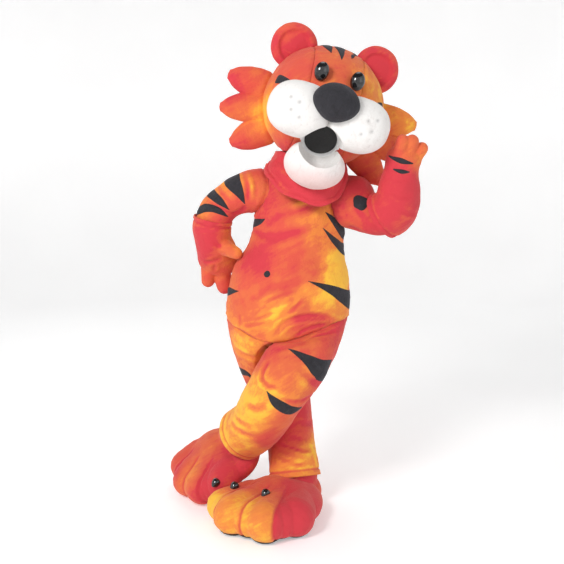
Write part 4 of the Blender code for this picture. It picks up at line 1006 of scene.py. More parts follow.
# ---------------------------------------------------------------- materials
def begin(name, roughness, sheen=0.0, sheen_tint=(1.0, 1.0, 1.0), sheen_roughness=0.5):
    """A new material: its tree, its surface shader, and the object's own coordinates."""
    finish = bpy.data.materials.new(name)
    finish.use_nodes = True
    tree = finish.node_tree
    surface = tree.nodes["Principled BSDF"]
    for socket, value in (("Roughness", roughness), ("Sheen Weight", sheen),
                          ("Sheen Roughness", sheen_roughness), ("Sheen Tint", (*sheen_tint, 1.0))):
        surface.inputs[socket].default_value = value
    place = tree.nodes.new("ShaderNodeTexCoord").outputs["Object"]
    return finish, tree, surface, place


def node_at(tree, place, kind, **values):
    """The outputs of a node that reads a place, with its inputs set by name."""
    node = tree.nodes.new(f"ShaderNode{kind}")
    for name, value in values.items():
        node.inputs[name].default_value = value
    tree.links.new(place, node.inputs["Vector"])
    return node.outputs


def scaled(tree, place, scale, turn=(0.0, 0.0, 0.0)):
    return node_at(tree, place, "Mapping", Scale=scale, Rotation=turn)["Vector"]


def noise(tree, place, scale, detail=2.0, twist=0.0):
    return node_at(tree, place, "TexNoise", Scale=scale, Detail=detail, Distortion=twist)["Fac"]


def dots(tree, place, scale):
    return node_at(tree, place, "TexVoronoi", Scale=scale)["Distance"]


def sum_of(tree, terms, start=0.0):
    """start plus each value times its factor."""
    total = None
    for value, factor in terms:
        node = tree.nodes.new("ShaderNodeMath")
        node.operation = "MULTIPLY_ADD"
        tree.links.new(value, node.inputs[0])
        node.inputs[1].default_value = factor
        if total is None:
            node.inputs[2].default_value = start
        else:
            tree.links.new(total, node.inputs[2])
        total = node.outputs[0]
    return total


def value_of(tree, name):
    node = tree.nodes.new("ShaderNodeAttribute")
    node.attribute_name = name
    return node.outputs["Fac"]


def ramp(tree, value, stops):
    node = tree.nodes.new("ShaderNodeValToRGB")
    node.color_ramp.interpolation = "EASE"
    marks = node.color_ramp.elements
    while len(marks) < len(stops):
        marks.new(0.5)
    for mark, (position, colour) in zip(marks, stops):
        mark.position = position
        mark.color = (*colour, 1.0)
    tree.links.new(value, node.inputs["Fac"])
    return node.outputs["Color"]


def blended(tree, value, first, second):
    """A mix of two colours, each a socket or a colour."""
    node = tree.nodes.new("ShaderNodeMix")
    node.data_type = "RGBA"
    tree.links.new(value, node.inputs["Factor"])
    for name, colour in (("A", first), ("B", second)):
        socket = [entry for entry in node.inputs if entry.name == name and entry.type == "RGBA"][0]
        if isinstance(colour, tuple):
            socket.default_value = (*colour, 1.0)
        else:
            tree.links.new(colour, socket)
    return [entry for entry in node.outputs if entry.type == "RGBA"][0]


def coloured(tree, surface, colour):
    tree.links.new(colour, surface.inputs["Base Color"])


def rough_with(tree, surface, height, strength, distance):
    node = tree.nodes.new("ShaderNodeBump")
    node.inputs["Strength"].default_value = strength
    node.inputs["Distance"].default_value = distance
    tree.links.new(height, node.inputs["Height"])
    tree.links.new(node.outputs["Normal"], surface.inputs["Normal"])


def pile_bump(tree, surface, place, depth=1.0):
    """Short pile: fine fibres that lie down the cloth, tufts, and areas brushed one way."""
    fibre = noise(tree, scaled(tree, place, (1.0, 1.0, 0.34)), 620.0, 2.0)
    tufts = noise(tree, place, 190.0, 2.0, 0.6)
    brushed = noise(tree, scaled(tree, place, (1.0, 1.0, 0.6), (0.5, 0.3, 0.0)), 46.0, 3.0, 1.2)
    height = sum_of(tree, [(fibre, 0.30), (tufts, 0.40), (brushed, 0.95)])
    rough_with(tree, surface, height, 0.55, 0.0042 * depth)
    return tufts, brushed


# The warmth ramp: the pile's own colours, with crimson also standing for painted shade and yellow for
# painted light.
CRIMSON = (0.600, 0.034, 0.050)
RED_ORANGE = (0.660, 0.078, 0.046)
SALMON = (0.700, 0.130, 0.044)
ORANGE = (0.790, 0.225, 0.040)
YELLOW = (0.880, 0.480, 0.042)
WARM_STOPS = [(0.03, CRIMSON), (0.26, RED_ORANGE), (0.47, SALMON), (0.68, ORANGE), (0.98, YELLOW)]
BLACK_STOPS = [(0.2, (0.010, 0.009, 0.012)), (0.55, (0.019, 0.018, 0.023)), (0.95, (0.040, 0.037, 0.047))]
WHITE_STOPS = [(0.1, (0.66, 0.62, 0.60)), (0.5, (0.80, 0.78, 0.76)), (0.95, (0.88, 0.87, 0.86))]
BIB_BOUNCE = (0.74, 0.42, 0.40)          # painted red bounce light and painted shade under the jaw, where the red bib shines on it
SPOT = (0.16, 0.15, 0.16)           # in a whisker's dimple
DIAGONAL = math.radians(-60.0)      # turns the pile's brushed lines so that they rise to the left hip


def orange_plush():
    finish, tree, surface, place = begin("orange_pile", 0.86, 0.24, (1.0, 0.58, 0.40), 0.42)
    tufts, brushed = pile_bump(tree, surface, place)
    turned = scaled(tree, place, (1.0, 1.0, 1.0), (0.0, DIAGONAL, 0.0))
    wide = noise(tree, scaled(tree, turned, (1.0, 1.0, 0.5)), 10.0, 2.0, 0.6)
    streaks = noise(tree, scaled(tree, turned, (1.0, 1.0, 0.16)), 95.0, 4.0, 0.3)
    warm = sum_of(tree, [(value_of(tree, "warm"), 1.0), (wide, 0.30), (brushed, 0.20), (tufts, 0.12),
                         (streaks, 0.36)], -0.52)
    colour = ramp(tree, warm, WARM_STOPS)
    coloured(tree, surface, colour)
    return finish


def lie_of(tree, tufts, brushed):
    """How lit a plain pile is, from the way it lies."""
    return sum_of(tree, [(brushed, 0.9), (tufts, 0.5)], -0.2)


def dark_plush():
    finish, tree, surface, place = begin("black_pile", 0.88, 0.10, (0.62, 0.60, 0.70), 0.5)
    tufts, brushed = pile_bump(tree, surface, place)
    colour = ramp(tree, lie_of(tree, tufts, brushed), BLACK_STOPS)
    coloured(tree, surface, colour)
    return finish


def white_plush():
    finish, tree, surface, place = begin("white_pile", 0.88, 0.30, (1.0, 0.98, 0.95), 0.5)
    tufts, brushed = pile_bump(tree, surface, place, 0.8)
    colour = ramp(tree, lie_of(tree, tufts, brushed), WHITE_STOPS)
    # painted red bounce light and painted shade under the jaw
    colour = blended(tree, value_of(tree, "bib_bounce"), colour, BIB_BOUNCE)
    colour = blended(tree, value_of(tree, "spot"), colour, SPOT)
    coloured(tree, surface, colour)
    return finish


def backing():
    """The knit that carries the pile, as seen inside."""
    finish, tree, surface, place = begin("knit_backing", 0.92)
    ribs = noise(tree, scaled(tree, place, (1.0, 1.0, 3.0)), 260.0, 1.0)
    colour = ramp(tree, ribs, [(0.3, (0.30, 0.030, 0.024)), (0.7, (0.46, 0.070, 0.040))])
    coloured(tree, surface, colour)
    rough_with(tree, surface, ribs, 0.5, 0.0012)
    return finish


def mesh_cloth():
    finish, tree, surface, place = begin("black_net", 0.75, 0.1)
    holes = dots(tree, place, 420.0)
    colour = ramp(tree, holes, [(0.25, (0.002, 0.002, 0.002)), (0.60, (0.018, 0.018, 0.019))])
    coloured(tree, surface, colour)
    rough_with(tree, surface, holes, 0.8, 0.0016)
    return finish


def gloss():
    finish, tree, surface, place = begin("gloss_shell", 0.12)
    surface.inputs["Coat Weight"].default_value = 0.6
    surface.inputs["Coat Roughness"].default_value = 0.05
    cloud = noise(tree, place, 30.0, 2.0)
    coloured(tree, surface, ramp(tree, cloud, [(0.3, (0.006, 0.006, 0.007)), (0.7, (0.012, 0.012, 0.014))]))
    rough_with(tree, surface, noise(tree, place, 90.0, 1.0), 0.08, 0.001)
    return finish


def rubber():
    finish, tree, surface, place = begin("sole_tread", 0.78)
    grain = noise(tree, place, 520.0, 3.0)
    scuffs = noise(tree, place, 26.0, 4.0, 1.0)
    colour = ramp(tree, scuffs, [(0.3, (0.020, 0.018, 0.018)), (0.7, (0.055, 0.050, 0.048))])
    coloured(tree, surface, colour)
    rough_with(tree, surface, sum_of(tree, [(grain, 0.6), (scuffs, 0.4)]), 0.6, 0.0012)
    return finish


def plain_stage():
    finish, tree, surface, place = begin("pale_paper", 0.9)
    mottle = noise(tree, place, 1.5, 2.0)
    colour = ramp(tree, mottle, [(0.3, (0.86, 0.86, 0.86)), (0.7, (0.89, 0.89, 0.89))])
    coloured(tree, surface, colour)
    surface.inputs["Emission Color"].default_value = (1.0, 1.0, 1.0, 1.0)
    surface.inputs["Emission Strength"].default_value = 0.30
    return finish


PILE = orange_plush()
DARK = dark_plush()
WHITE = white_plush()
KNIT = backing()
NET = mesh_cloth()
GLOSS = gloss()
TREAD = rubber()


# ---------------------------------------------------------------- entering pieces
def enter(pieces, piece, node):
    """Puts a piece in its CAD node's place, on the costume's one body."""
    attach(piece, "root")
    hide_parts(node)
    pieces[node] = piece


def raised(piece, height):
    """Moves a piece's points out along its normals by height(points)."""
    points = points_of(piece)
    set_points(piece, points + normals_of(piece) * height(points)[:, None])


def box_shape(low, high, matrix):
    corners = [(x, y, z) for z in (low[2], high[2]) for y in (low[1], high[1]) for x in (low[0], high[0])]
    faces = [[0, 2, 3, 1], [4, 5, 7, 6], [0, 1, 5, 4], [2, 6, 7, 3], [0, 4, 6, 2], [1, 3, 7, 5]]
    return moved_to(matrix, np.array(corners)), faces


# ---------------------------------------------------------------- the suit
TORSO_ACROSS = 208
TORSO_ROWS = 92
SLEEVE_ACROSS = 84
SLEEVE_ROWS = 66
LEG_ACROSS = 118
LEG_ROWS = 116
SEAM_ROWS = 8            # of a leg's rows that the torso's edge draws along
SEAM_SLACK = 0.03        # share of a cell by which a torso panel keeps off its seams
SIDE_SEAM_END = -0.60    # the lowest point of the torso's side and back seams
GROIN_SEAM = 0.0022      # depth of the seam between torso and legs
GROIN_SEAM_END = -0.72   # below this the legs only press together, and no seam is drawn
CUFF_STITCH = 0.024      # from a cuff's edge up to its row of stitches
GLOVE_STITCH = 0.018     # the same on a glove and on the bib
HEM_FULL = 0.0022        # how far a turned-in hem stands off the cloth
HEM_GROOVE = 0.0050      # depth of the row of stitches
HEM_GROOVE_WIDE = 0.0042
HEM_FELT = 0.06          # above a leg's cuff, where its hem is worked out
CLEAR = 0.004            # round a foot in the end of its leg
TOE_VALLEY = 0.007       # how much lower the stuffing lies between two toes
INSTEP_FULL = {          # where each boot's stuffing is fullest, and by how much
    "right": ((-0.085, -0.125, -1.165), 0.013),
    "left": ((-0.172, -0.010, -1.130), 0.002),
}
INSTEP_REACH = 0.075     # and how far around that place
CREASE_DEPTH = 0.0060    # of the sewn lines between a boot's toes
DRAWN_IN = 0.0022        # how far a boot's upper is drawn in over its sole
DRAWN_REACH = 0.010
SWELL_FROM_SOLE = 0.03   # height by which a boot's swells are in full
LEFT_FROM = 0.05         # across a boot, where its fuller left side begins
LEFT_OVER = 0.09         # and the width over which it gets full
TOE_LEANS = {            # how far the pile's colour leans past each sewn line, in the toes' order, as each panel's lay and as painted light and shade
    "right": (-0.14, 0.12, -0.70),
    "left": (-0.16, 0.10, -0.14),
}


def shell(name, outer, normals, wrap, finishes):
    points, faces, outside = wall(outer, outer - normals * PLUSH, wrap)
    return make(name, points, faces, finishes, outside)


def hem(away, full=HEM_FULL, stitch=CUFF_STITCH):
    """A turned-in hem: a little fuller than the cloth, up to a row of stitches."""
    groove = HEM_GROOVE * bell(away - stitch, HEM_GROOVE_WIDE)
    return full / (1.0 + np.exp((away - stitch) / 0.002)) - groove


def hem_shade_and_highlight(away, stitch=CUFF_STITCH):
    """Painted shade, redder, along a hem's row of stitches, and a painted highlight just above them."""
    return (0.14 * bell(away - stitch - 0.009, 0.006)
            - 0.36 * bell(away - stitch, 0.0040))


def side_seams(points):
    """How far torso points lie from the side seams and the seam down the back."""
    away = np.full(len(points), 1.0)
    heights = np.linspace(TORSO[0].z, SIDE_SEAM_END, 40)
    for degrees in (0.0, 180.0, 270.0):
        line = level_points(TORSO, np.full(40, degrees), heights)
        away = np.minimum(away, along_line(points, line)[0])
    return away


def follow_edge(grid, edge, side):
    """Draws a leg's first rows onto the torso's shaped edge, so that their seam stays shut."""
    place = np.arange(LEG_ACROSS) * leg_top(side, np.zeros(1))[1] / LEG_ACROSS
    edge_cells = leg_top(side, np.zeros(1))[1] - CROTCH_CELLS
    start = GROIN_BACK - 360.0 if side > 0 else GROIN_FRONT
    column = ((start + CELL * place) % 360.0) * len(edge) / 360.0
    near = column.astype(int) % len(edge)
    share = (column - column.astype(int))[:, None]
    target = edge[near] * (1.0 - share) + edge[(near + 1) % len(edge)] * share
    target[:, 2] -= GAP
    move = np.where((place <= edge_cells)[:, None], target - grid[0], 0.0)
    shaped = grid.copy()
    for i in range(SEAM_ROWS):
        shaped[i] += move * (1.0 - i / SEAM_ROWS) ** 2
    return shaped


HIP_LOW, HIP_MIDDLE, HIP_HIGH = -0.425, -0.34, -0.262     # heights of the lit hip
HIP_EDGE = 0.108         # its clean line, at the middle height
HIP_LEAN = 0.10          # how far that line goes out for each metre up
HIP_BACK = 0.015         # how far back it reaches
HIP_GLOW = 0.34          # how much warmer it is


def lit_hip(points):
    """A painted highlight on the left hip, from a clean line: its pile lies the other way there, and it is
    painted yellow.
    """
    x, y, z = points.T
    edge = HIP_EDGE + HIP_LEAN * (z - HIP_MIDDLE)
    along = step_up(z - HIP_LOW, 0.012) * step_up(HIP_HIGH - z, 0.010)
    return HIP_GLOW * step_up(x - edge, 0.004) * along * step_up(HIP_BACK - y, 0.016)


def nearer_of(points, trees):
    return np.minimum(distance_to(points, trees[0]), distance_to(points, trees[1]))


def torso_seams(points, arm_trees, leg_trees):
    armhole, groin = nearer_of(points, arm_trees), nearer_of(points, leg_trees)
    sides = side_seams(points)
    height = seam(armhole) + seam(groin, GROIN_SEAM) + seam(sides, 0.0026, 0.005)
    return height + puckers(points, armhole, 51) + puckers(points, groin, 52) + puckers(points, sides, 53)


def torso_panels(pieces, body, normals, armholes):
    quarter = TORSO_ACROSS // 4
    around = np.arange(TORSO_ACROSS + 1) % TORSO_ACROSS
    for node, first, last, cutters in (
            ("body_front", 0, 2 * quarter, armholes),
            ("body_back_right", 2 * quarter, 3 * quarter, armholes[:1]),
            ("body_back_left", 3 * quarter, 4 * quarter, armholes[1:])):
        columns = around[first:last + 1]
        panel, ways = body[:, columns].copy(), normals[:, columns]
        panel[:, 0] += SEAM_SLACK * (panel[:, 1] - panel[:, 0])
        panel[:, -1] += SEAM_SLACK * (panel[:, -2] - panel[:, -1])
        piece = shell(f"{node}_cloth", panel, ways, False, (PILE, KNIT))
        cut(piece, cutters)
        paint(piece, NAP_AND_LIGHT["body"], BODY_FOLDS, NAP_BASE, lit_hip)
        enter(pieces, piece, node)


def sleeves(pieces, shaped, inside):
    for side, folds, naps_and_light, base in (("right", SLEEVE_RIGHT_FOLDS, NAP_AND_LIGHT["sleeve_right"], NAP_BASE),
                                    ("left", SLEEVE_LEFT_FOLDS, NAP_AND_LIGHT["red"], 0.10)):
        node = f"sleeve_{side}"
        piece = shell(f"{node}_cloth", *shaped[side], True, (PILE, KNIT))
        cut(piece, [inside])
        paint(piece, naps_and_light, folds, base)
        enter(pieces, piece, node)


def feet_in(side, at, ankle):
    """Closed shapes of a boot, a little larger, to cut the end of its leg by."""
    frame_of_boot = placed(at)
    feet = [ellipsoid(row, 0.009, frame_of_boot, CLEAR / 2.0) for row in BOOT_BLOBS[side]]
    feet.append(pod(moved_to(frame_of_boot, Tube(ankle, 2).grid(14, 48, CLEAR / 2.0))))
    return feet


def legs(pieces, skins, grids, torso_edge_row, torso_tree, leg_trees):
    for side, way, other, folds, at, ankle in (
            ("right", -1.0, leg_trees[1], LEG_RIGHT_FOLDS, BOOT_RIGHT_AT, ANKLE_RIGHT),
            ("left", 1.0, leg_trees[0], LEG_LEFT_FOLDS, BOOT_LEFT_AT, ANKLE_LEFT)):
        node = f"leg_{side}"
        edge = grids[side][-1]
        edge = np.concatenate([edge, edge[:1]])

        def leg_seams(points):
            groin = np.minimum(distance_to(points, torso_tree), 2.0 * distance_to(points, other))
            near = points[:, 2] < edge[:, 2].max() + HEM_FELT
            height = seam(groin, GROIN_SEAM) * (points[:, 2] > GROIN_SEAM_END) + puckers(points, groin, 55)
            height[near] += hem(along_line(points[near], edge)[0])
            return height

        grid = relieved(grids[side], folds, 17, leg_seams)[0]
        grid = follow_edge(grid, torso_edge_row, way)
        ways = grid_normals(grid)
        skins[node] = tree_of(pod(grid))
        piece = shell(f"{node}_cloth", grid, ways, True, (PILE, KNIT))
        cut(piece, feet_in(side, at, ankle))
        paint(piece, NAP_AND_LIGHT[node], folds, NAP_BASE, lambda points: hem_shade_and_highlight(along_line(points, edge)[0]))
        enter(pieces, piece, node)


def suit():
    """The torso's three panels, both sleeves and both legs, shaped together so that seams meet."""
    torso = torso_grid(TORSO_ROWS, TORSO_ACROSS)
    arm_grids = {"right": Tube(SLEEVE_RIGHT, SLEEVE_CELLS, 1).grid(SLEEVE_ROWS, SLEEVE_ACROSS),
                 "left": Tube(SLEEVE_LEFT, SLEEVE_CELLS, 1).grid(SLEEVE_ROWS, SLEEVE_ACROSS)}
    leg_grids = {"right": leg_grid(LEG_RIGHT, LEG_LEFT, -1.0, LEG_ROWS, LEG_ACROSS),
                 "left": leg_grid(LEG_LEFT, LEG_RIGHT, 1.0, LEG_ROWS, LEG_ACROSS)}
    torso_tree = tree_of(pod(torso))
    arm_trees = [tree_of(pod(grid[:SLEEVE_ROWS // 2])) for grid in arm_grids.values()]
    leg_trees = [tree_of(pod(grid)) for grid in leg_grids.values()]

    def arm_seams(points):
        armhole = distance_to(points, torso_tree)
        return seam(armhole) + puckers(points, armhole, 54)

    body, normals = relieved(torso, BODY_FOLDS, 11,
                             lambda points: torso_seams(points, arm_trees, leg_trees))
    pieces, skins = {}, {"torso": tree_of(pod(body))}
    shaped, armholes = {}, []
    for side, folds in (("right", SLEEVE_RIGHT_FOLDS), ("left", SLEEVE_LEFT_FOLDS)):
        grid, ways = relieved(arm_grids[side], folds, 13, arm_seams)
        shaped[side] = (grid, ways)
        skins[f"sleeve_{side}"] = tree_of(pod(grid))
        armholes.append(pod((grid + ways * GAP)[:SLEEVE_ROWS // 2]))
    torso_panels(pieces, body, normals, armholes)
    sleeves(pieces, shaped, pod(body - normals * PLUSH))
    legs(pieces, skins, leg_grids, body[-1], torso_tree, leg_trees)
    return pieces, skins


GLOVE_ROWS = 60
GLOVE_ACROSS = 72
PAW_SMOOTH = {"glove": 5, "boot": 4}     # rounds of smoothing where fingers or toes join
LIP = 0.012              # how far a joined form runs on past its mouth, before it is opened there
TUCK_REACH = 0.026       # how far from its mouth a glove is drawn in


def gloves(pieces, skins):
    for side, rows, fingers, folds, naps_and_light, base, tuck in (
            ("right", GLOVE_RIGHT, FINGERS_RIGHT, GLOVE_RIGHT_FOLDS, NAP_AND_LIGHT["glove_right"], 0.25, 0.005),
            ("left", GLOVE_LEFT, FINGERS_LEFT, GLOVE_LEFT_FOLDS, NAP_AND_LIGHT["red"], 0.06, 0.012)):
        node = f"glove_{side}"
        hand = Tube(rows, GLOVE_CELLS)
        out = -hand.ways[0]
        grid = hand.grid(GLOVE_ROWS, GLOVE_ACROSS)
        grid = np.concatenate([grid[:1] + out * LIP, grid])
        shapes = [pod(grid)] + [lobe(row) for row in fingers]
        piece = fused(f"{node}_cloth", shapes, PAW_VOXEL, PAW_SMOOTH["glove"], (PILE, KNIT))
        mouth = hand.points(np.zeros(61), np.arange(61) % 60 * 6.0)
        open_at(piece, hand.middles[0].tolist(), out.tolist())

        def height(points):
            away = along_line(points, mouth)[0]
            return (fold_field(points, folds, fold_height) + 0.8 * swell(points, 23)
                    + hem(away, HEM_FULL, GLOVE_STITCH) + puckers(points, np.abs(away - GLOVE_STITCH), 57)
                    - tuck * bell(away, TUCK_REACH))

        raised(piece, height)
        skins[node] = surface_of(piece)
        thicken(piece, PLUSH)
        paint(piece, naps_and_light, folds, base, lambda points: hem_shade_and_highlight(along_line(points, mouth)[0], GLOVE_STITCH))
        enter(pieces, piece, node)


def toe_lines(points, frame_of_boot, toes):
    """How far a boot's points lie along and beyond each sewn line between two toes."""
    local = moved_to(frame_of_boot.inverted(), points)
    for near, far in zip(toes, toes[1:]):
        start = np.array([(near.x0 + far.x0) / 2.0, (near.y0 + far.y0) / 2.0])
        end = np.array([(near.x1 + far.x1) / 2.0, (near.y1 + far.y1) / 2.0])
        way = unit(end - start)
        offset = local[:, :2] - start
        yield offset @ way, offset[:, 1] * way[0] - offset[:, 0] * way[1]


def toe_creases(points, frame_of_boot, toes, width=0.0055):
    """1 on the sewn lines between a boot's toes, which run up its instep, and 0 away from them."""
    total = np.zeros(len(points))
    for along, beyond in toe_lines(points, frame_of_boot, toes):
        total += bell(beyond, width) / (1.0 + np.exp(-(along - 0.010) / 0.012))
    return np.clip(total, 0.0, 1.0)


def toe_lay_and_shade(points, frame_of_boot, toes, side):
    """Painted shade along the sewn lines between the toes; past each line the toe's panel leans by
    TOE_LEANS, partly its own lay and partly painted light and shade.
    """
    local = moved_to(frame_of_boot.inverted(), points)
    ahead = step_up(-0.150 - local[:, 1], 0.020)
    warm = -0.42 * toe_creases(points, frame_of_boot, toes, 0.006)
    for lean, (_, beyond) in zip(TOE_LEANS[side], toe_lines(points, frame_of_boot, toes)):
        warm += lean * step_up(beyond, 0.003) * ahead
    return warm


def boot_shapes(side, frame_of_boot, tube, toes):
    """A boot's closed forms: foot, ankle, toes, and the stuffing between each two toes."""
    grid = tube.grid(24, 72)
    grid = np.concatenate([grid, grid[-1:] + tube.ways[-1] * LIP])
    shapes = [ellipsoid(row, matrix=frame_of_boot) for row in BOOT_BLOBS[side]]
    shapes.append(pod(moved_to(frame_of_boot, grid)))
    shapes += [lobe(row, matrix=frame_of_boot) for row in toes]
    for near, far in zip(toes, toes[1:]):
        between = np.array(near) / 2.0 + np.array(far) / 2.0
        shapes.append(lobe(Lobe(*between), matrix=frame_of_boot, grow=-TOE_VALLEY))
    return shapes


def boots(pieces, skins):
    for side, at, ankle, toes, fuller in (("right", BOOT_RIGHT_AT, ANKLE_RIGHT, TOES_RIGHT, 0.003),
                                          ("left", BOOT_LEFT_AT, ANKLE_LEFT, TOES_LEFT, 0.008)):
        frame_of_boot = placed(at)
        turned = np.array(frame_of_boot.to_3x3())
        tube = Tube(ankle, 2)
        shapes = boot_shapes(side, frame_of_boot, tube, toes)
        upper = fused(f"boot_{side}_pad", shapes, PAW_VOXEL, PAW_SMOOTH["boot"], (PILE, KNIT))
        sole = fused(f"sole_{side}_shape", shapes, PAW_VOXEL, PAW_SMOOTH["boot"], (TREAD,))
        up = turned @ UP
        bottom = moved_to(frame_of_boot, np.array([0.0, 0.0, SOLE_THICK + GAP]))
        top = moved_to(frame_of_boot, tube.middles[-1])
        top_way = turned @ tube.ways[-1]
        open_at(upper, bottom.tolist(), (-up).tolist())
        open_at(upper, top.tolist(), top_way.tolist())

        def height(points):
            above = (points - bottom) @ up
            edge = DRAWN_IN * bell(above, DRAWN_REACH)
            across = moved_to(frame_of_boot.inverted(), points)[:, 0]
            left_side = np.clip((across - LEFT_FROM) / LEFT_OVER, 0.0, 1.0)
            full_at, full_by = INSTEP_FULL[side]
            away = np.linalg.norm(points - np.array(full_at), axis=1)
            instep = full_by * bell(away, INSTEP_REACH)
            return (0.9 * swell(points, 29) * np.minimum(above / SWELL_FROM_SOLE, 1.0) - edge + instep
                    - CREASE_DEPTH * toe_creases(points, frame_of_boot, toes) + fuller * left_side)

        raised(upper, height)
        skins[f"boot_{side}"] = surface_of(upper)
        thicken(upper, SHOE_FOAM)
        paint(upper, NAP_AND_LIGHT[f"boot_{side}"], (), NAP_BASE,
              lambda points: toe_lay_and_shade(points, frame_of_boot, toes, side))
        enter(pieces, upper, f"boot_{side}")
        cut(sole, [box_shape((-0.4, -0.6, 0.0), (0.4, 0.4, SOLE_THICK), frame_of_boot)], "INTERSECT")
        enter(pieces, sole, f"sole_{side}")


# ---------------------------------------------------------------- the head
HEAD_ACROSS = 250
GUSSET_ROWS = 42
SIDE_ROWS = 52
SIDES = (("left", 1.0), ("right", -1.0))
MUZZLE_SQUARE = 2.25     # how boxy each half of the muzzle is; 2 is an ellipsoid
MOUTH_LINED = 1.16       # squared, how far past the mouth's edge its black lining shows
MOUTH_STEP = 0.004       # between the points of the mouth's hole
NET_BEYOND = 0.014       # how far the net reaches past the hole's edge
FACE_SEAM = 0.0026       # depth of the seams where tufts, ears, jaw and muzzle are sewn on
MUZZLE_SEAM = 0.0028
WHISKER_DEPTH = 0.0034
NOSE_PINCH = 0.010       # how far the nose's lower sides are drawn in


def on_side(row, way):
    """A left-hand form of the face, moved to its own side."""
    return row._replace(x=row.x * way)


def muzzle_half(way, grow=0.0):
    return ellipsoid(on_side(MUZZLE, way), PAD_STEP, HEAD, grow, MUZZLE_SQUARE)


def neck_cutter():
    y, half_wide, half_long, top, low, flare = NECK_HOLE
    rings = []
    for z, grow in ((low, flare), (top, 0.0)):
        turns = turns_of(60)
        rings.append(np.stack([(half_wide + grow) * np.cos(turns), y + (half_long + grow) * np.sin(turns),
                               np.full(60, z)], -1))
    return pod(moved_to(HEAD, np.array(rings)))


def face_forms():
    """The closed shapes that stand on the skull, before any is cut."""
    forms = {}
    for side, way in SIDES:
        forms[f"muzzle_{side}"] = muzzle_half(way)
        forms[f"eye_{side}"] = ellipsoid(on_side(EYE, way), 0.0022, HEAD)
        forms[f"ear_{side}"] = ellipsoid(on_side(EAR, way), 0.0036, HEAD)
    forms["nose"] = ellipsoid(NOSE, 0.0036, HEAD)
    forms["jaw"] = ellipsoid(JAW, PAD_STEP, HEAD)
    return forms


def skull_pod(grow):
    return pod(skull_grid(-0.9998, 0.9998, 90, HEAD_ACROSS, grow),
               skull_points(np.array([-1.0, 1.0]), np.zeros(2), grow))


def line_mouth(piece):
    """Black cloth on the faces that the mouth's hole leaves in a panel."""
    piece.data.materials.append(DARK)
    inverse = HEAD.inverted()
    for face in piece.data.polygons:
        away = sum(((value - middle) / half) ** 2
                   for value, middle, half in zip(inverse @ face.center, MOUTH_HOLE[:3], MOUTH_HOLE[3:]))
        if away < MOUTH_LINED:
            face.material_index = 2


def skull_panel(node, start, end, rows, height):
    """A panel of the head's foam shell, between two shares of the skull's width."""
    step = GAP / SKULL[0]
    middle, right = node == "head_gusset", node == "head_side_right"
    first = start - step if right else start + step
    last = end - step if middle else end
    outer = skull_grid(first, last, rows, HEAD_ACROSS)
    inner = skull_grid(first, last, rows, HEAD_ACROSS, -FOAM)
    if right:
        outer, inner = outer[:, ::-1], inner[:, ::-1]
    ways = unit(outer - moved_to(HEAD, np.zeros(3)))
    shift = height(outer.reshape(-1, 3)).reshape(outer.shape[:2])
    if not middle:
        shift[-1] = shift[-1].mean()
    points, faces, outside = wall(outer + ways * shift[..., None], inner, True, not middle)
    return make(f"{node}_pad", points, faces, (PILE, KNIT), outside)


def head(pieces, skins, forms):
    sewn_on = ("muzzle_left", "muzzle_right", "ear_left", "ear_right", "jaw")
    carried = [tree_of(forms[node]) for node in sewn_on]
    inverse = HEAD.inverted()

    def skull_height(points):
        local = moved_to(inverse, points)
        share = np.abs(local[:, 0]) / SKULL[0]
        seam_at = np.abs(share - GUSSET_SHARE) * SKULL[0] * 0.95
        height = 0.7 * swell(points, 37) + seam(seam_at, 0.0030, 0.005) + puckers(points, seam_at, 61)
        for tree in carried:
            away = distance_to(points, tree)
            height += seam(away, FACE_SEAM) * (away > 0.0)
        return height

    mouth = ellipsoid(MOUTH_HOLE, MOUTH_STEP, HEAD)
    neck = neck_cutter()
    for node, start, end, rows, cutters in (
            ("head_gusset", -GUSSET_SHARE, GUSSET_SHARE, GUSSET_ROWS, [neck, mouth]),
            ("head_side_left", GUSSET_SHARE, 1.0, SIDE_ROWS, [neck]),
            ("head_side_right", -GUSSET_SHARE, -1.0, SIDE_ROWS, [neck])):
        piece = skull_panel(node, start, end, rows, skull_height)
        cut(piece, cutters)
        line_mouth(piece)
        paint(piece, NAP_AND_LIGHT["head"], (), 0.42)
        enter(pieces, piece, node)
    skins["head"] = tree_of(skull_pod(0.0))


WHISKERS = ((0.018, 0.020), (0.040, -0.012), (0.006, -0.030), (0.050, 0.030))     # across, up
WHISKER_WIDE = 0.0075


def whisker_dots(points, side):
    """1 in the middle of each whisker dimple of a muzzle puff, and 0 away from them."""
    total = np.zeros(len(points))
    way = np.array(HEAD.to_3x3()) @ -FRONT
    for across, up in WHISKERS:
        start = moved_to(HEAD, np.array([side * (MUZZLE.x + across), -0.40, MUZZLE.z + up]))
        offset = points - start
        along = offset @ way
        away = np.linalg.norm(offset - along[:, None] * way, axis=1)
        total += bell(away, WHISKER_WIDE) * (along < 0.20)
    return np.clip(total, 0.0, 1.0)


def muzzle(pieces, forms, skull, skull_tree, mouth):
    for side, way in SIDES:
        node = f"muzzle_{side}"
        piece = make(f"{node}_pad", *forms[node], (WHITE,))

        def height(points):
            middle = np.abs(moved_to(HEAD.inverted(), points)[:, 0])
            return (0.5 * swell(points, 41) + seam(distance_to(points, skull_tree), MUZZLE_SEAM)
                    - WHISKER_DEPTH * whisker_dots(points, way) + seam(middle, 0.0030, 0.006))

        raised(piece, height)
        near, far = (-0.4, GAP / 2.0) if way > 0 else (-GAP / 2.0, 0.4)
        cut(piece, [skull, box_shape((near, -0.5, -0.4), (far, 0.2, 0.4), HEAD), mouth])
        points = points_of(piece)
        attribute(piece, "spot", 0.55 * whisker_dots(points, way) ** 2)
        attribute(piece, "bib_bounce", np.zeros(len(points)))
        enter(pieces, piece, node)


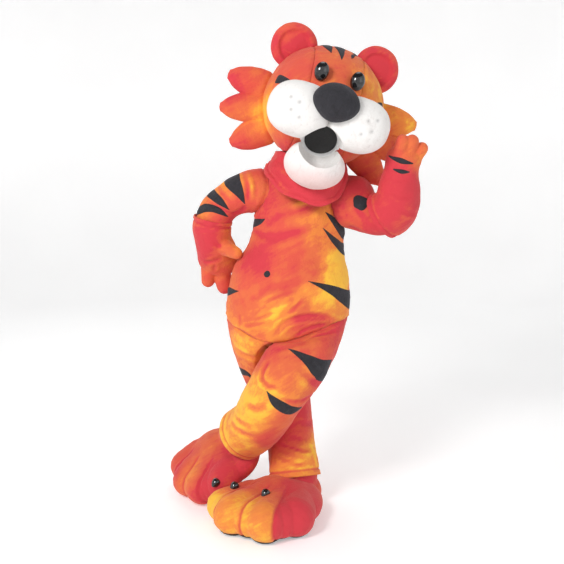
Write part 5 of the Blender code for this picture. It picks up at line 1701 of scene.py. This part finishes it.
def nose_on(pieces, forms, cutters):
    nose = make("nose_pad", *forms["nose"], (DARK,))
    inverse = HEAD.inverted()

    def height(points):
        local = moved_to(inverse, points)
        low = np.clip((NOSE.z - local[:, 2]) / NOSE.tall, 0.0, 1.0)
        return 0.4 * swell(points, 43) - NOSE_PINCH * low ** 1.6 * np.abs(local[:, 0]) / NOSE.wide

    raised(nose, height)
    cut(nose, cutters)
    enter(pieces, nose, "nose")


def jaw_on(pieces, forms, skull, skull_tree, mouth, puffs):
    jaw = make("jaw_pad", *forms["jaw"], (WHITE,))
    raised(jaw, lambda points: 0.6 * swell(points, 47) + seam(distance_to(points, skull_tree), FACE_SEAM))
    bib = pod(bib_grid(30, 120) + grid_normals(bib_grid(30, 120)) * 0.002)
    cut(jaw, [skull, mouth, bib] + puffs)
    points = points_of(jaw)
    local = moved_to(HEAD.inverted(), points)
    # painted shade and red bounce light on the jaw's underside
    under = 1.0 / (1.0 + np.exp((local[:, 2] - JAW.z + 0.020) / 0.012))
    attribute(jaw, "bib_bounce", 0.55 * under)
    attribute(jaw, "spot", np.zeros(len(points)))
    enter(pieces, jaw, "jaw")


def mouth_net(pieces):
    """Black net inside the head's wall, across the mouth."""
    net = make("mouth_mesh_cloth", *ellipsoid(MOUTH_HOLE, MOUTH_STEP, HEAD, NET_BEYOND), (NET,))
    cut(net, [skull_pod(-FOAM - GAP)], "INTERSECT")
    cut(net, [skull_pod(-FOAM - GAP - PLUSH)])
    enter(pieces, net, "mouth_mesh")


def face(pieces, forms):
    skull = skull_pod(-0.0015)
    skull_tree = tree_of(skull_pod(0.0))
    mouth = ellipsoid(MOUTH_HOLE, MOUTH_STEP, HEAD, 0.001)
    muzzle(pieces, forms, skull, skull_tree, mouth)
    puffs = [muzzle_half(way, -0.002) for way in (1.0, -1.0)]
    nose_on(pieces, forms, [skull] + puffs)
    jaw_on(pieces, forms, skull, skull_tree, mouth, puffs)
    mouth_net(pieces)
    for side, way in SIDES:
        eye = make(f"eye_{side}_shape", *forms[f"eye_{side}"], (GLOSS,))
        cut(eye, [skull])
        enter(pieces, eye, f"eye_{side}")
        ear_of(pieces, forms, side, way, skull)
        for k, row in enumerate(TUFTS):
            tuft_of(pieces, k, row, side, way, skull, skull_tree)


EAR_DISH = 0.017         # how deep an ear's front is pressed in
EAR_RIM = 0.66           # share of the ear's size at which the dish begins


def ear_dish(local, way):
    """How far back an ear's front is pressed in, at points of the head's own frame."""
    away = np.hypot((local[:, 0] - way * EAR.x) / EAR.wide, (local[:, 2] - EAR.z) / EAR.tall)
    return EAR_DISH / (1.0 + np.exp((away - EAR_RIM) / 0.040)) * (local[:, 1] < EAR.y)


def ear_of(pieces, forms, side, way, skull):
    node = f"ear_{side}"
    inverse = HEAD.inverted()
    ear = make(f"{node}_pad", *forms[node], (PILE,))
    points = points_of(ear)
    local = moved_to(inverse, points)
    local[:, 1] += ear_dish(local, way)
    set_points(ear, moved_to(HEAD, local))
    tuck = [(way * (EAR.x + x), EAR.y - EAR.long + 0.019, EAR.z - 0.026 + z)
            for x, z in ((-0.040, 0.006), (0.0, -0.002), (0.040, 0.004))]
    folds = [Fold(0.006, -0.0030, moved_to(HEAD, np.array(tuck)).tolist())]
    raised(ear, lambda places: 0.5 * swell(places, 67) + fold_field(places, folds, fold_height))
    cut(ear, [skull])

    def lining(places):
        return -8.0 * ear_dish(moved_to(inverse, places), way)

    paint(ear, NAP_AND_LIGHT["ear"], folds, 0.24, lining)
    enter(pieces, ear, node)


TUFT_SECTIONS = [(0.0, 0.90), (0.3, 1.0), (0.6, 0.90), (0.85, 0.60), (0.97, 0.28), (1.0, 0.10)]
TUFT_ROWS = 44
TUFT_ACROSS = 52


def tuft_of(pieces, k, row, side, way, skull, skull_tree):
    """A pointed cushion, with a seam where it is sewn onto the head."""
    node = f"tuft_{side}_{k + 1}"
    angle = math.radians(row.turn)
    out = np.array([way * math.cos(angle), 0.0, -math.sin(angle)])
    across = np.array([math.sin(angle), 0.0, way * math.cos(angle)])
    share = np.linspace(0.0, 0.985, TUFT_ROWS)
    size = np.interp(share, *np.array(TUFT_SECTIONS).T)
    size = np.convolve(np.pad(size, 3, mode="edge"), np.ones(7) / 7.0, "valid")
    turns = turns_of(TUFT_ACROSS)
    wide = np.sign(np.cos(turns)) * np.abs(np.cos(turns)) ** 0.85
    thick = np.sin(turns) * (1.0 - 0.25 * np.abs(np.cos(turns)))
    middle = out * (row.root + (row.reach - row.root) * share)[:, None] + np.array([0.0, TUFT_BACK, 0.0])
    grid = (middle[:, None] + across * (row.wide * size)[:, None, None] * wide[None, :, None]
            + FRONT * (TUFT_THICK * size ** 0.8)[:, None, None] * thick[None, :, None])
    tip = out * row.reach + np.array([0.0, TUFT_BACK, 0.0])
    shape = pod(moved_to(HEAD, grid), moved_to(HEAD, np.array([middle[0], tip])))
    piece = make(f"{node}_pad", *shape, (PILE,))
    raised(piece, lambda points: (0.6 * swell(points, 71 + k)
                                  + seam(distance_to(points, skull_tree), FACE_SEAM)))
    cut(piece, [skull])
    paint(piece, NAP_AND_LIGHT["tuft"], (), 0.40)
    enter(pieces, piece, node)


def neck_bib(pieces):
    grid = bib_grid(40, 176)
    edge = np.concatenate([grid[-1], grid[-1, :1]])
    outer, ways = relieved(grid, BIB_FOLDS, 73,
                           lambda points: hem(along_line(points, edge)[0], 0.002, GLOVE_STITCH))
    piece = shell("neck_bib_cloth", outer, ways, True, (PILE, KNIT))
    cut(piece, [skull_pod(GAP)])
    paint(piece, NAP_AND_LIGHT["red"], BIB_FOLDS, 0.04)
    enter(pieces, piece, "neck_bib")


# ---------------------------------------------------------------- stripes and claws
STRIPE_STATIONS = 30     # points along a stripe
STRIPE_ACROSS = 13
STRIPE_POINT = 0.0008    # half the width of a stripe's pointed end, at least
STRIPE_SUNK = 0.0016     # how deep a stripe's underside lies in the panel
CAST_FROM = 0.05         # how far out a stripe's points start, before they drop to the panel
CAST_REACH = 0.12        # and how far they may drop


def laid(name, points, halves, middle_of, surface):
    """A stripe laid over a surface: its pile stands proud in the middle and dips to its edges."""
    share = np.linspace(0.0, 1.0, STRIPE_STATIONS)
    line = spline(points, share)
    half = np.maximum(spline(np.asarray(halves)[:, None], share)[:, 0], STRIPE_POINT)
    out = unit(line - middle_of(line))
    way = unit(np.gradient(line, axis=0))
    side = unit(np.cross(out, way))
    places = np.linspace(-1.0, 1.0, STRIPE_ACROSS)
    top = np.zeros((STRIPE_STATIONS, STRIPE_ACROSS, 3))
    low = np.zeros_like(top)
    for i in range(STRIPE_STATIONS):
        for j, place in enumerate(places):
            start = line[i] + side[i] * half[i] * place + out[i] * CAST_FROM
            spot, normal = surface.ray_cast(start.tolist(), (-out[i]).tolist(), CAST_REACH)[:2]
            if spot is None:
                spot, normal = surface.find_nearest(start.tolist())[:2]
            spot, normal = np.array(spot), np.array(normal)
            ends = min(1.0, 4.0 * min(share[i] + 0.06, 1.06 - share[i]))
            rise = PATCH * (1.0 - abs(place) ** 3.0) * ends
            top[i, j] = spot + normal * rise
            low[i, j] = spot - normal * STRIPE_SUNK
    points, faces = wall(top[:, ::-1], low[:, ::-1], False)[:2]
    return make(name, points, faces, (DARK,))


def stripes(pieces, skins):
    def round_torso(line):
        row = level_at(TORSO, line[:, 2])
        return np.stack([row[:, 1], row[:, 2], line[:, 2]], -1)

    def round_limb(rows, cells, relax):
        middles = Tube(rows, cells, relax).middles
        dense = spline(middles, np.linspace(0.0, 1.0, 80))

        def nearest(line):
            away = np.linalg.norm(line[:, None] - dense, axis=-1)
            return dense[away.argmin(1)]
        return nearest

    for table, middle_of, surface in (
            (TORSO_STRIPES, round_torso, "torso"),
            (SLEEVE_RIGHT_STRIPES, round_limb(SLEEVE_RIGHT, SLEEVE_CELLS, 1), "sleeve_right"),
            (SLEEVE_LEFT_STRIPES, round_limb(SLEEVE_LEFT, SLEEVE_CELLS, 1), "sleeve_left"),
            (GLOVE_LEFT_STRIPES, round_limb(GLOVE_LEFT, GLOVE_CELLS, 0), "glove_left"),
            (LEG_LEFT_STRIPES, round_limb(LEG_LEFT, LEG_CELLS, 1), "leg_left"),
            (LEG_RIGHT_STRIPES, round_limb(LEG_RIGHT, LEG_CELLS, 1), "leg_right")):
        for node, marks in table.items():
            points = [mark[:3] for mark in marks]
            piece = laid(f"{node}_cloth", points, [mark.half for mark in marks], middle_of, skins[surface])
            enter(pieces, piece, node)
    centre = moved_to(HEAD, np.zeros(3))
    for node, bands in HEAD_STRIPES.items():
        share = np.array([band.share for band in bands])
        degrees = np.array([band.degrees for band in bands])
        piece = laid(f"{node}_cloth", skull_points(share, degrees), [band.half for band in bands],
                     lambda line: centre, skins["head"])
        enter(pieces, piece, node)


CLAW_WAY = unit(np.array([-0.55, -0.70, -0.45]))      # from a claw's root to its tip
CLAW_TAPER = 0.38
CLAW_PROUD = 0.003       # how far a claw's middle stands off the pile


def claws(pieces, skins):
    """Each claw is thick at its root and narrows to its tip, and sits half in the boot's pile."""
    for node, row in CLAWS.items():
        skin = skins["boot_left" if "left" in node else "boot_right"]
        spot = skin.find_nearest((row.x, row.y, row.z))[0]
        points, faces = ellipsoid(Blob(0.0, 0.0, 0.0, 1.0, 1.0, 1.0), 0.09)
        along = points[:, 1:2]
        across = unit(np.cross(CLAW_WAY, UP))
        over = np.cross(across, CLAW_WAY)
        thin = 1.0 - CLAW_TAPER * along
        shaped = (across * points[:, :1] * thin * row.wide + CLAW_WAY * along * row.long
                  + over * points[:, 2:] * thin * row.tall)
        piece = make(f"{node}_shape", shaped + np.array(spot) + over * CLAW_PROUD, faces, (GLOSS,))
        piece.data.flip_normals()
        enter(pieces, piece, node)


# ---------------------------------------------------------------- set
FLAT_TO = 4.6            # how far out the floor is flat
BEND = 1.6               # radius in which it turns up
WALL_AT, WALL_TOP = 6.2, 6.0


def backdrop():
    """A pale floor that curves up on all sides, with no line between floor and wall."""
    profile = [(0.0, 0.0), (2.0, 0.0), (FLAT_TO, 0.0)]
    for step in range(1, 13):
        bend = math.radians(90.0 * step / 12)
        profile.append((FLAT_TO + BEND * math.sin(bend), BEND * (1.0 - math.cos(bend))))
    profile.append((WALL_AT, WALL_TOP))
    count = 72
    points, faces = [(0.0, 0.0, FLOOR)], []
    for radius, height in profile[1:]:
        for j in range(count):
            turn = 2.0 * math.pi * j / count
            points.append((radius * math.cos(turn), radius * math.sin(turn), FLOOR + height))
    for j in range(count):
        ahead = (j + 1) % count
        faces.append([0, 1 + j, 1 + ahead])
        for i in range(len(profile) - 2):
            low, high = 1 + i * count, 1 + (i + 1) * count
            faces.append([low + j, high + j, high + ahead, low + ahead])
    bowl = make("backdrop", points, faces, (plain_stage(),))


LAMP_TARGET = Vector((0.0, 0.0, -0.3))


def lamp(name, place, size, power):
    light = bpy.data.lights.new(name, "AREA")
    light.shape = "DISK"
    light.size = size
    light.energy = power
    lamp_object = bpy.data.objects.new(name, light)
    lamp_object.location = place
    lamp_object.rotation_euler = (LAMP_TARGET - Vector(place)).to_track_quat("-Z", "Y").to_euler()
    bpy.context.scene.collection.objects.link(lamp_object)


def studio():
    backdrop()
    lamp("key", (-1.9, -3.0, 1.9), 1.1, 92.0)
    lamp("fill", (2.6, -2.6, 0.8), 2.4, 10.0)
    lamp("top", (0.3, 0.6, 3.0), 2.2, 22.0)
    lamp("back", (-1.4, 3.2, 1.4), 2.2, 16.0)
    world = bpy.data.worlds.new("pale_room")
    bpy.context.scene.world = world
    world.use_nodes = True
    background = world.node_tree.nodes["Background"]
    background.inputs["Color"].default_value = (1.0, 1.0, 1.0, 1.0)
    background.inputs["Strength"].default_value = 0.10
    bpy.context.scene.view_settings.view_transform = "Standard"


def camera():
    lens = bpy.data.cameras.new("view")
    lens.lens = 56.2
    lens.sensor_width = 36.0
    eye = bpy.data.objects.new("view", lens)
    eye.location = (-0.058, -3.4, 0.15)
    eye.rotation_euler = (math.radians(80.9), 0.0, 0.0)
    bpy.context.scene.collection.objects.link(eye)
    bpy.context.scene.camera = eye


# ---------------------------------------------------------------- rows for cloth cuts and padding patches, and the build
Cut = namedtuple("Cut", "node width length area held laid_on")
Patch = namedtuple("Patch", "node width length area under")


def build():
    camera()
    studio()
    pieces, skins = suit()
    gloves(pieces, skins)
    boots(pieces, skins)
    forms = face_forms()
    head(pieces, skins, forms)
    face(pieces, forms)
    neck_bib(pieces)
    stripes(pieces, skins)
    claws(pieces, skins)


build()
